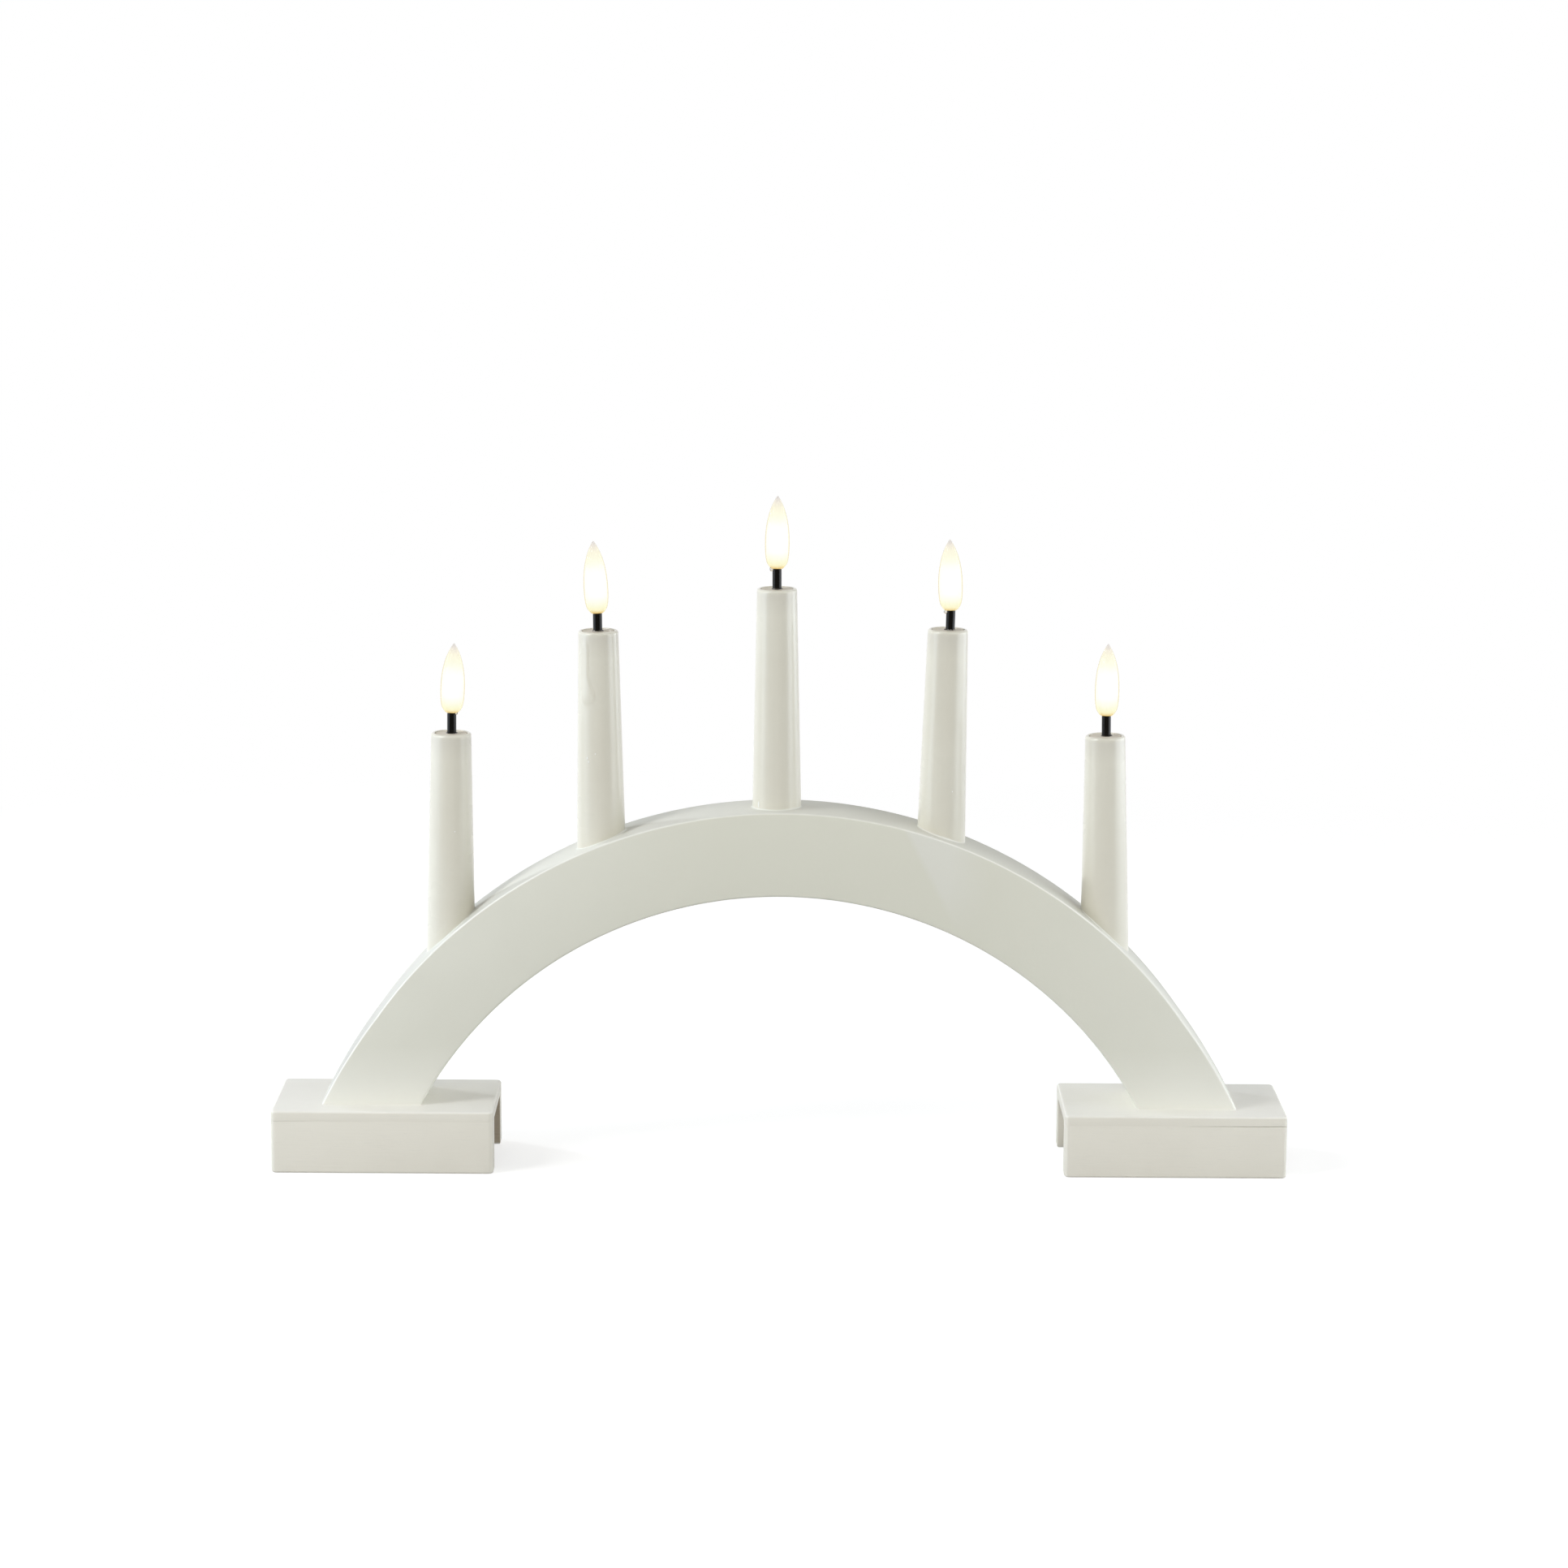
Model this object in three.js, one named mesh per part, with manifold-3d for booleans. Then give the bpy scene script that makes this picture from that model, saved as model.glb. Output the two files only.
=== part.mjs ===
// Electric advent candlestick: a white wooden arch on two channel-shaped feet, with five tapered
// candles whose LED flames run from two AA cells hidden in the right foot.
// Millimetres, +Z up, +X to the viewer's right, front towards -Y, origin on the ground at mid-width.

import * as THREE from 'three';
import { mergeVertices } from 'three/addons/utils/BufferGeometryUtils.js';
import Module from 'manifold-3d';

const wasm = await Module();
wasm.setup();

// Overall
const crownHeight = 143.4; // top of the arch above the ground
const seatGap = 0.3; // left between pieces that sit in or against each other

// Arch
const archOuterRadius = 194;
const archWidth = 33.5; // from the outer to the inner curve
const archThickness = 30;

// Feet: a top board glued on two runners, open at both ends
const footLength = 87.5;
const footOverhang = 21.34; // past the arch's outer corner
const footTopThickness = 4;
const footWallThickness = 8;

// Candles from left to right. Their sockets are drilled by hand, so places, depths and leans vary.
const candleAngle = [-42.2, -21.4, -0.5, 19, 41.4]; // degrees from the crown, where each axis leaves the arch
const candleLean = [0.47, -0.78, -0.31, 1.1, -0.9]; // degrees, top towards +X
const socketDepth = [25.4, 21.4, 17.8, 22.9, 26.7]; // along the axis
const socketClearance = 0.3;
const candleLength = 104;
const candleBaseDiameter = 19.2;
const candleTopDiameter = 15.8;
const candleStraight = 18; // untapered length at the foot of the tube
const candleWall = 1.5;
const rimRound = 0.4;

// Disc that closes the top of a candle
const capThickness = 3;
const capSink = 0.6; // below the rim
const capClearance = 0.15;

// Wick sleeve
const wickDiameter = 3.8;
const wickBore = 2.4;
const wickTail = 4; // below the cap
const wickHeight = [6.5, 6.2, 7.3, 6.4, 7.3]; // seen between rim and flame
const wickOffset = [0.2, -0.2, 0, 0.9, 0.4]; // off the candle's axis
const wickClearance = 0.15;

// Flame diffuser
const flameHeight = 29;
const flameBaseDiameter = 5.4;
const flameDiameter = 9.55;
const flameBellyHeight = 10; // height of the widest part
const flameSocketDepth = 2; // how far the wick reaches in
const flameSocketClearance = 0.2;
const flameCavityHeight = 9.5;
const flameLean = [1.85, -2.5, 0.55, -2.5, 1.3]; // degrees, beside the candle's own lean
const flameFlank = 0.72; // share of the swelling reached near the base
const flameFlankHeight = 0.15; // heights as shares of the belly's height
const flameBellyStart = 0.55;
const flameShoulder = 0.4; // heights as shares of the taper above the belly
const flameNeckHeight = 0.76;
const flameNeck = 0.67; // width there as a share of the belly

// LED inside the flame
const ledDiameter = 3;
const ledLength = 5;
const ledFlangeDiameter = 3.4;
const ledFlangeThickness = 0.8;
const ledClearance = 0.4;

// Wiring
const leadDiameter = 1.6;
const leadHoleClearance = 1;
const harnessDiameter = 2;
const harnessSideClearance = 0.7;
const harnessHeadroom = 1.5;
const harnessOverrun = 1.5; // degrees past the first candle
const harnessBendRadius = 6;
const harnessHoleClearance = 1;
const coverThickness = 1.2;
const coverClearance = 0.15;
const grooveOverrun = 1; // degrees past the harness

// Screws through the foot tops
const screwLength = 28;
const screwDiameter = 4;
const screwHeadDiameter = 8;
const screwHeadDepth = 2;
const screwTip = 5;
const screwSpacing = 16;
const screwClearance = 0.15;

// Cells
const cellDiameter = 14.2;
const cellLength = 50.5; // with the button
const cellButtonDiameter = 5.5;
const cellButtonLength = 1.5;
const cellEdge = 0.6;
const cellGap = 1; // between the two cells
const cellSideClearance = 0.7;
const cellTopClearance = 0.3;

// Battery case and its lid
const caseWall = 1.6;
const casePanel = 1.4; // the side against the top board
const caseDivider = 1.2;
const caseSideClearance = 1; // to the runners of the foot
const caseRecess = 10; // behind the foot's outer end
const caseGroundGap = 1.3;
const railLip = 0.9;
const railGrip = 0.8; // how deep the rails reach into the side walls
const lidThickness = 1.3;
const lidClearance = 0.15;
const lidGripHeight = 0.6;
const lidGripWidth = 14;
const lidGripLength = 2;
const electronicsBay = 11;
const padThickness = 1;
const padWidth = 24;
const padMargin = 6;

// Contacts
const plateThickness = 0.4;
const plateWidth = 10.5;
const plateHeight = 11;
const springLength = 5;
const springWire = 0.8;
const springBaseDiameter = 9.2;
const springTipDiameter = 6;
const springTurns = 3;

// Circuit board and switch
const boardThickness = 1.2;
const boardClearance = 0.2;
const switchDepth = 4;
const switchLength = 12;
const switchHeight = 5;
const switchTravel = 4; // on, off and timer
const switchClearance = 0.25;
const sliderBaseLength = 4;
const sliderBaseHeight = 2.6;
const sliderBaseDepth = 1.6;
const knobLength = 2.2;
const knobHeight = 1.8;
const knobReach = 1.6; // outside the case

// Facets
const arcSteps = 36;
const candleSides = 24;
const flameSides = 16;
const smallSides = 12;
const wireSides = 8;
const harnessArcSteps = 46;
const bendSteps = 5;
const flameSwellSteps = 3; // below the widest part
const flameTaperSteps = 7; // above it
const ledDomeSteps = 3;
const springSteps = 8; // in one turn
const springSides = 5;

// Sizes that follow from the ones above
const archInnerRadius = archOuterRadius - archWidth;
const archCentreZ = crownHeight - archOuterRadius;
const cellPitch = cellDiameter + cellGap;
const cavityWidth = cellDiameter + cellPitch + 2 * cellSideClearance;
const caseWidth = cavityWidth + 2 * caseWall;
const footDepth = caseWidth + 2 * caseSideClearance + 2 * footWallThickness;
const lidBottom = caseGroundGap + railLip + lidClearance;
const cavityBottom = lidBottom + lidThickness + lidClearance;
const cellCentreZ = cavityBottom + cellTopClearance + cellDiameter / 2;
const cavityTop = cellCentreZ + cellDiameter / 2 + cellTopClearance;
const caseTop = cavityTop + casePanel;
const footUnderside = caseTop + padThickness;
const footHeight = footUnderside + footTopThickness;
const legDrop = footHeight - archCentreZ; // from the foot tops down to the arch's centre
const candleTop = seatGap + candleLength;
const capTop = candleTop - capSink;
const harnessRadius = archInnerRadius + coverThickness + seatGap + harnessDiameter / 2;
const grooveRadius = harnessRadius + harnessDiameter / 2 + harnessHeadroom;
const grooveWidth = harnessDiameter + 2 * harnessSideClearance;
const harnessEnd = Math.acos(legDrop / harnessRadius); // where the harness leaves the arch
const firstCandleX = archOuterRadius * Math.sin(THREE.MathUtils.degToRad(candleAngle[0]));
const harnessStart = Math.asin(firstCandleX / harnessRadius) - THREE.MathUtils.degToRad(harnessOverrun);
const grooveStart = harnessStart - THREE.MathUtils.degToRad(grooveOverrun);
const harnessLevel = cellCentreZ + (cellDiameter / 2 + harnessDiameter) / 2; // between the two cells

// Half-width of a circle about the arch's centre at a height above the ground
function halfChord(radius, height) {
  return Math.sqrt(radius ** 2 - (height - archCentreZ) ** 2);
}
const footOuterX = halfChord(archOuterRadius, footHeight) + footOverhang;

// Stations along the battery case, from its outer end inwards
const caseOuterX = footOuterX - caseRecess;
const bayOuterX = caseOuterX - caseWall;
const dividerOuterX = bayOuterX - electronicsBay;
const dividerInnerX = dividerOuterX - caseDivider;
const terminalX = dividerInnerX - plateThickness;
const linkX = terminalX - springLength - cellLength - 3 * seatGap;
const caseInnerX = linkX - plateThickness - caseWall;
const switchOuterX = bayOuterX - seatGap;
const boardOuterX = switchOuterX - switchDepth;
const boardInnerX = boardOuterX - boardThickness;
const switchZ = (cavityBottom + cavityTop) / 2;

// Materials
function finish(color, roughness, metalness = 0) {
  return new THREE.MeshStandardMaterial({ color, roughness, metalness });
}
const whitePaint = finish(0xe9e8e4, 0.55);
const candleWhite = finish(0xe6e2da, 0.3);
const creamCard = finish(0xd8cbb2, 0.7);
const blackSleeve = finish(0x161514, 0.35);
const frosted = finish(0xfff2c8, 0.5);
const clearResin = finish(0xfff6dd, 0.2);
const wireJacket = finish(0xdedbd4, 0.5);
const stripPaint = finish(0xe2e0da, 0.6);
const zincSteel = finish(0xb9bcc0, 0.35, 0.9);
const springSteel = finish(0xc4c6c8, 0.3, 0.9);
const casePlastic = finish(0xe4e2dc, 0.5);
const cellJacket = finish(0x4a5a4e, 0.4);
const boardGreen = finish(0x2f6b45, 0.5);
const switchBlack = finish(0x222224, 0.5);
const padFoam = finish(0xcfcdc6, 0.9);

// Solid of revolution about Z from [radius, height] points
function spin(profile, sides) {
  const points = profile.map(([radius, height]) => new THREE.Vector2(radius, height));
  return new THREE.LatheGeometry(points, sides).rotateX(Math.PI / 2);
}

// Box between two corners
function block(low, high) {
  const size = high.map((value, axis) => value - low[axis]);
  const middle = high.map((value, axis) => (value + low[axis]) / 2);
  return new THREE.BoxGeometry(...size).translate(...middle);
}

// Round bar between two points
function rod(from, to, radius, sides) {
  const run = new THREE.Vector3().subVectors(to, from);
  const turn = new THREE.Quaternion().setFromUnitVectors(new THREE.Vector3(0, 1, 0), run.clone().normalize());
  const middle = new THREE.Vector3().addVectors(from, to).multiplyScalar(0.5);
  return new THREE.CylinderGeometry(radius, radius, run.length(), sides)
    .applyQuaternion(turn)
    .translate(middle.x, middle.y, middle.z);
}

// Line through given stations, with one ring of a swept tube at each
class StationRoute extends THREE.Curve {
  constructor(stations) {
    super();
    this.stations = stations;
  }

  getPoint(t) {
    const place = THREE.MathUtils.clamp(t, 0, 1) * (this.stations.length - 1);
    const index = Math.min(Math.floor(place), this.stations.length - 2);
    return this.stations[index].clone().lerp(this.stations[index + 1], place - index);
  }

  getUtoTmapping(u) {
    return u;
  }
}

function tube(stations, radius, sides) {
  const corners = Array.from({ length: sides }, (_, side) => {
    const angle = (2 * Math.PI * side) / sides;
    return new THREE.Vector2(radius * Math.cos(angle), radius * Math.sin(angle));
  });
  const extrudePath = new StationRoute(stations);
  return new THREE.ExtrudeGeometry(new THREE.Shape(corners), { extrudePath, steps: stations.length - 1 });
}

// Ring section standing in the plane of the arch. Angles are from the crown, positive towards +X.
function ringSection(inner, outer, thickness) {
  const quarter = Math.PI / 2;
  const shape = new THREE.Shape();
  shape.absarc(0, 0, outer.radius, quarter - outer.start, quarter - outer.end, true);
  shape.absarc(0, 0, inner.radius, quarter - inner.end, quarter - inner.start, false);
  return new THREE.ExtrudeGeometry(shape, { depth: thickness, bevelEnabled: false, curveSegments: arcSteps })
    .rotateX(quarter)
    .translate(0, thickness / 2, archCentreZ);
}

// Point in the plane of the arch at a radius and an angle from the crown
function onArch(radius, angle) {
  return new THREE.Vector3(radius * Math.sin(angle), 0, archCentreZ + radius * Math.cos(angle));
}

// Booleans
function toSolid(geometry) {
  const bare = geometry.clone();
  bare.deleteAttribute('normal');
  bare.deleteAttribute('uv');
  const merged = mergeVertices(bare);
  const corners = merged.index.array;
  const triVerts = [];
  for (let i = 0; i < corners.length; i += 3) {
    const [a, b, c] = corners.subarray(i, i + 3);
    if (a !== b && b !== c && c !== a) triVerts.push(a, b, c);
  }
  const mesh = new wasm.Mesh({
    numProp: 3,
    vertProperties: merged.attributes.position.array,
    triVerts: Uint32Array.from(triVerts),
  });
  return new wasm.Manifold(mesh);
}

function toGeometry(solid) {
  const { vertProperties, triVerts } = solid.getMesh();
  const geometry = new THREE.BufferGeometry();
  geometry.setAttribute('position', new THREE.BufferAttribute(Float32Array.from(vertProperties), 3));
  geometry.setIndex(new THREE.BufferAttribute(Uint32Array.from(triVerts), 1));
  geometry.computeVertexNormals();
  return geometry;
}

function cut(geometry, tools) {
  return toGeometry(tools.reduce((body, tool) => body.subtract(toSolid(tool)), toSolid(geometry)));
}

function join(first, second) {
  return toGeometry(toSolid(first).add(toSolid(second)));
}

const candlestick = new THREE.Group();

function addPiece(name, geometry, material, parent = candlestick) {
  const mesh = new THREE.Mesh(geometry, material);
  mesh.name = name;
  parent.add(mesh);
  return mesh;
}

// Screws: one profile serves the screw and, grown by the clearance, its hole
function screwProfile(grow) {
  const shank = screwDiameter / 2 + grow;
  const head = screwHeadDiameter / 2 + grow;
  return [
    [0, 0],
    [head, 0],
    [shank, screwHeadDepth],
    [shank, screwLength - screwTip],
    [0, screwLength + grow],
  ];
}
const screwMiddle = (footUnderside + footHeight + screwLength) / 2;
const screwX = (halfChord(archOuterRadius, screwMiddle) + halfChord(archInnerRadius, screwMiddle)) / 2;
const screwPlaces = {
  left_front: [-screwX, -screwSpacing / 2],
  left_back: [-screwX, screwSpacing / 2],
  right_front: [screwX, -screwSpacing / 2],
  right_back: [screwX, screwSpacing / 2],
};
const screwHoles = [];
for (const [place, [x, y]] of Object.entries(screwPlaces)) {
  const screw = spin(screwProfile(0), smallSides).translate(x, y, footUnderside);
  addPiece(`arch_screw_${place}`, screw, zincSteel);
  screwHoles.push(spin(screwProfile(screwClearance), smallSides).translate(x, y, footUnderside));
}

// Harness: along the groove, out of the right leg, then level in the valley between the cells
const harnessExit = onArch(harnessRadius, harnessEnd);
const harnessFall = new THREE.Vector3(Math.cos(harnessEnd), 0, -Math.sin(harnessEnd));
const bendDrop = harnessBendRadius * (1 - Math.cos(harnessEnd));
const fallLength = (harnessExit.z - harnessLevel - bendDrop) / Math.sin(harnessEnd);
const bendStart = harnessExit.clone().addScaledVector(harnessFall, fallLength);
const bendCentreX = bendStart.x + harnessBendRadius * Math.sin(harnessEnd);
const bendCentreZ = bendStart.z + harnessBendRadius * Math.cos(harnessEnd);
const harnessStations = [];
for (let step = 0; step <= harnessArcSteps; step += 1) {
  const angle = THREE.MathUtils.lerp(harnessStart, harnessEnd, step / harnessArcSteps);
  harnessStations.push(onArch(harnessRadius, angle));
}
for (let step = 0; step <= bendSteps; step += 1) {
  const angle = harnessEnd * (1 - step / bendSteps);
  const x = bendCentreX - harnessBendRadius * Math.sin(angle);
  const z = bendCentreZ - harnessBendRadius * Math.cos(angle);
  harnessStations.push(new THREE.Vector3(x, 0, z));
}
harnessStations.push(new THREE.Vector3(boardInnerX - seatGap, 0, harnessLevel));
addPiece('wiring_harness', tube(harnessStations, harnessDiameter / 2, wireSides), wireJacket);

const harnessHoleRadius = harnessDiameter / 2 + harnessHoleClearance;
const harnessHole = rod(
  harnessExit.clone().addScaledVector(harnessFall, -footTopThickness),
  harnessExit.clone().addScaledVector(harnessFall, fallLength + harnessBendRadius),
  harnessHoleRadius,
  smallSides,
);
const dividerHole = rod(
  new THREE.Vector3(terminalX, 0, harnessLevel),
  new THREE.Vector3(dividerOuterX + caseDivider, 0, harnessLevel),
  harnessHoleRadius,
  smallSides,
);

// Feet
function foot(side, sign, holes) {
  const outer = sign * footOuterX;
  const inner = outer - sign * footLength;
  const low = Math.min(outer, inner);
  const high = Math.max(outer, inner);
  const face = footDepth / 2;
  const wallFace = face - footWallThickness;
  const board = block([low, -face, footUnderside], [high, face, footHeight]);
  addPiece(`${side}_foot_top`, cut(board, holes), whitePaint);
  addPiece(`${side}_foot_front`, block([low, -face, 0], [high, -wallFace, footUnderside]), whitePaint);
  addPiece(`${side}_foot_back`, block([low, wallFace, 0], [high, face, footUnderside]), whitePaint);
}
foot('left', -1, screwHoles.slice(0, 2));
foot('right', 1, [...screwHoles.slice(2), harnessHole]);

// Candles: each stands on its own axis, and its pieces are placed along that axis from the socket's floor
function flameProfile() {
  const base = flameBaseDiameter / 2;
  const belly = flameDiameter / 2;
  const bore = wickDiameter / 2 + flameSocketClearance;
  const cavity = ledDiameter / 2 + ledClearance;
  const point = (radius, height) => new THREE.Vector2(radius, height);
  const flank = THREE.MathUtils.lerp(base, belly, flameFlank);
  const swell = new THREE.CubicBezierCurve(
    point(base, 0),
    point(flank, flameFlankHeight * flameBellyHeight),
    point(belly, flameBellyStart * flameBellyHeight),
    point(belly, flameBellyHeight),
  );
  const rise = flameHeight - flameBellyHeight;
  const taper = new THREE.CubicBezierCurve(
    point(belly, flameBellyHeight),
    point(belly, flameBellyHeight + flameShoulder * rise),
    point(flameNeck * belly, flameBellyHeight + flameNeckHeight * rise),
    point(0, flameHeight),
  );
  const outline = [...swell.getPoints(flameSwellSteps), ...taper.getPoints(flameTaperSteps).slice(1)];
  const outside = outline.map(({ x, y }) => [x, y]);
  return [
    [0, flameCavityHeight],
    [cavity, flameCavityHeight - cavity],
    [cavity, flameSocketDepth + seatGap],
    [bore, flameSocketDepth],
    [bore, 0],
    ...outside,
  ];
}

function tubeProfile() {
  const base = candleBaseDiameter / 2;
  const rim = candleTopDiameter / 2;
  return [
    [base - candleWall, seatGap],
    [base, seatGap],
    [base, seatGap + candleStraight],
    [rim, candleTop - rimRound],
    [rim - rimRound, candleTop],
    [rim - candleWall + rimRound, candleTop],
    [rim - candleWall, candleTop - rimRound],
    [base - candleWall, seatGap + candleStraight],
    [base - candleWall, seatGap],
  ];
}

function ledProfile() {
  const flange = ledFlangeDiameter / 2;
  const body = ledDiameter / 2;
  const dome = Array.from({ length: ledDomeSteps }, (_, step) => {
    const angle = (step * Math.PI) / (2 * ledDomeSteps);
    return [body * Math.cos(angle), ledLength - body + body * Math.sin(angle)];
  });
  return [
    [0, 0],
    [flange, 0],
    [flange, ledFlangeThickness],
    [body, ledFlangeThickness],
    ...dome,
    [0, ledLength],
  ];
}

const socketRadius = candleBaseDiameter / 2 + socketClearance;
const leadHoleRadius = leadDiameter / 2 + leadHoleClearance;
const archTools = [...screwHoles];

candleAngle.forEach((angle, index) => {
  const name = `candle_${index + 1}`;
  const lean = THREE.MathUtils.degToRad(candleLean[index]);
  const up = new THREE.Vector3(Math.sin(lean), 0, Math.cos(lean));
  const across = new THREE.Vector3(Math.cos(lean), 0, -Math.sin(lean));
  const surface = onArch(archOuterRadius, THREE.MathUtils.degToRad(angle));
  const candle = new THREE.Group();
  candle.position.copy(surface).addScaledVector(up, -socketDepth[index]);
  candle.rotation.y = lean;
  candle.updateMatrix();
  candlestick.add(candle);

  // Along the lead's line, the height over the socket's floor where it meets a circle about the arch's centre
  const lineStart = candle.position.clone().addScaledVector(across, wickOffset[index]);
  const fromCentre = lineStart.clone().sub(new THREE.Vector3(0, 0, archCentreZ));
  const along = fromCentre.dot(up);
  const offLine = fromCentre.clone().addScaledVector(up, -along).length();
  const heightAt = (radius) => Math.sqrt(radius ** 2 - offLine ** 2) - along;
  const harnessTopRadius = harnessRadius + harnessDiameter / 2;
  const steepness = offLine / Math.sqrt(harnessTopRadius ** 2 - offLine ** 2);
  const leadBottom = heightAt(harnessTopRadius) + seatGap + (leadDiameter / 2) * steepness;

  const wickTop = candleTop + wickHeight[index] + flameSocketDepth;
  const wickBottom = capTop - capThickness - wickTail;
  const point = (height, offset = 0) => new THREE.Vector3(offset, 0, height);

  const socket = rod(point(0), point(candleLength), socketRadius, candleSides);
  const leadHole = rod(
    point(heightAt(harnessRadius), wickOffset[index]),
    point(seatGap, wickOffset[index]),
    leadHoleRadius,
    smallSides,
  );
  archTools.push(socket.applyMatrix4(candle.matrix), leadHole.applyMatrix4(candle.matrix));

  const capRadius = candleTopDiameter / 2 - candleWall - capClearance;
  const disc = rod(point(capTop - capThickness), point(capTop), capRadius, candleSides);
  const wickHole = rod(
    point(wickBottom, wickOffset[index]),
    point(wickTop, wickOffset[index]),
    wickDiameter / 2 + wickClearance,
    smallSides,
  );
  const sleeve = [
    [wickBore / 2, wickBottom],
    [wickDiameter / 2, wickBottom],
    [wickDiameter / 2, wickTop],
    [wickBore / 2, wickTop],
    [wickBore / 2, wickBottom],
  ];
  const lead = rod(point(leadBottom), point(wickTop), leadDiameter / 2, wireSides);
  addPiece(`${name}_tube`, spin(tubeProfile(), candleSides), candleWhite, candle);
  addPiece(`${name}_cap`, cut(disc, [wickHole]), creamCard, candle);
  addPiece(`${name}_wick`, spin(sleeve, smallSides), blackSleeve, candle).position.x = wickOffset[index];
  addPiece(`${name}_lead`, lead, wireJacket, candle).position.x = wickOffset[index];

  const flame = new THREE.Group();
  flame.position.set(wickOffset[index], 0, candleTop + wickHeight[index]);
  flame.rotation.y = THREE.MathUtils.degToRad(flameLean[index]);
  candle.add(flame);
  addPiece(`${name}_flame`, spin(flameProfile(), flameSides), frosted, flame);
  const led = addPiece(`${name}_led`, spin(ledProfile(), smallSides), clearResin, flame);
  led.position.z = flameSocketDepth + seatGap;
});

// Arch: a ring section cut level at the foot tops, with its sockets, wire holes and groove
const outerEnd = Math.acos(legDrop / archOuterRadius);
const innerEnd = Math.acos(legDrop / archInnerRadius);
const archBody = ringSection(
  { radius: archInnerRadius, start: -innerEnd, end: innerEnd },
  { radius: archOuterRadius, start: -outerEnd, end: outerEnd },
  archThickness,
);
const grooveTool = ringSection(
  { radius: archInnerRadius - coverThickness, start: grooveStart, end: outerEnd },
  { radius: grooveRadius, start: grooveStart, end: outerEnd },
  grooveWidth,
);
addPiece('arch', cut(archBody, [...archTools, grooveTool]), whitePaint);

const coverStart = grooveStart + seatGap / archInnerRadius;
const coverEnd = Math.acos((legDrop + seatGap) / archInnerRadius);
const coverStrip = ringSection(
  { radius: archInnerRadius, start: coverStart, end: coverEnd },
  { radius: archInnerRadius + coverThickness, start: coverStart, end: coverEnd },
  grooveWidth - 2 * coverClearance,
);
addPiece('groove_cover', coverStrip, stripPaint);

// Battery case: a box open below, with rails for the lid, a divider and holes for the harness and the knob
const caseSide = caseWidth / 2;
const cavitySide = cavityWidth / 2;
const knobY = -switchTravel / 2; // the on position
const knobSide = knobLength / 2 + switchClearance;
const knobSlot = block(
  [bayOuterX - seatGap, knobY - knobSide, switchZ - knobHeight / 2 - switchClearance],
  [caseOuterX + seatGap, knobY + switchTravel + knobSide, switchZ + knobHeight / 2 + switchClearance],
);
const caseTools = [
  block([linkX - plateThickness, -cavitySide, cavityBottom], [dividerInnerX, cavitySide, cavityTop]),
  block([dividerOuterX, -cavitySide, cavityBottom], [bayOuterX, cavitySide, cavityTop]),
  block(
    [linkX - plateThickness, -cavitySide - railGrip, lidBottom - lidClearance],
    [caseOuterX + caseWall, cavitySide + railGrip, cavityBottom],
  ),
  block([linkX - plateThickness, -cavitySide, 0], [caseOuterX + caseWall, cavitySide, cavityBottom]),
  harnessHole,
  dividerHole,
  knobSlot,
];
const caseBlock = block([caseInnerX, -caseSide, caseGroundGap], [caseOuterX, caseSide, caseTop]);
addPiece('battery_case', cut(caseBlock, caseTools), casePlastic);

const lidSide = cavitySide + railGrip - lidClearance;
const lidPlate = block(
  [linkX - plateThickness + seatGap, -lidSide, lidBottom],
  [caseOuterX, lidSide, lidBottom + lidThickness],
);
const lidGrip = block(
  [caseOuterX - 2 * lidGripLength, -lidGripWidth / 2, lidBottom - lidGripHeight],
  [caseOuterX - lidGripLength, lidGripWidth / 2, lidBottom + lidThickness / 2],
);
addPiece('battery_lid', join(lidPlate, lidGrip), casePlastic);

const padLow = [caseInnerX + padMargin, -padWidth / 2, caseTop];
const padHigh = [caseOuterX - padMargin, padWidth / 2, footUnderside];
addPiece('adhesive_pad', cut(block(padLow, padHigh), [harnessHole]), padFoam);

// Cells and contacts: the front cell's button meets the link plate, the back cell's the positive plate
function cellProfile() {
  const body = cellDiameter / 2;
  const button = cellButtonDiameter / 2;
  const shoulder = cellLength - cellButtonLength;
  return [
    [0, 0],
    [body - cellEdge, 0],
    [body, cellEdge],
    [body, shoulder - cellEdge],
    [body - cellEdge, shoulder],
    [button, shoulder],
    [button, cellLength],
    [0, cellLength],
  ];
}
const frontY = -cellPitch / 2;
const backY = cellPitch / 2;
const frontCell = spin(cellProfile(), candleSides).rotateY(-Math.PI / 2);
const backCell = spin(cellProfile(), candleSides).rotateY(Math.PI / 2);
const frontCellBack = linkX + seatGap + cellLength;
const backCellBack = terminalX - seatGap - cellLength;
addPiece('cell_front', frontCell.translate(frontCellBack, frontY, cellCentreZ), cellJacket);
addPiece('cell_back', backCell.translate(backCellBack, backY, cellCentreZ), cellJacket);

function plate(innerX, lowY, highY) {
  const low = [innerX, lowY - plateWidth / 2, cellCentreZ - plateHeight / 2];
  const high = [innerX + plateThickness, highY + plateWidth / 2, cellCentreZ + plateHeight / 2];
  return block(low, high);
}
addPiece('negative_plate', plate(terminalX, frontY, frontY), springSteel);
addPiece('positive_plate', plate(terminalX, backY, backY), springSteel);
addPiece('link_plate', plate(linkX - plateThickness, frontY, backY), springSteel);

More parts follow.
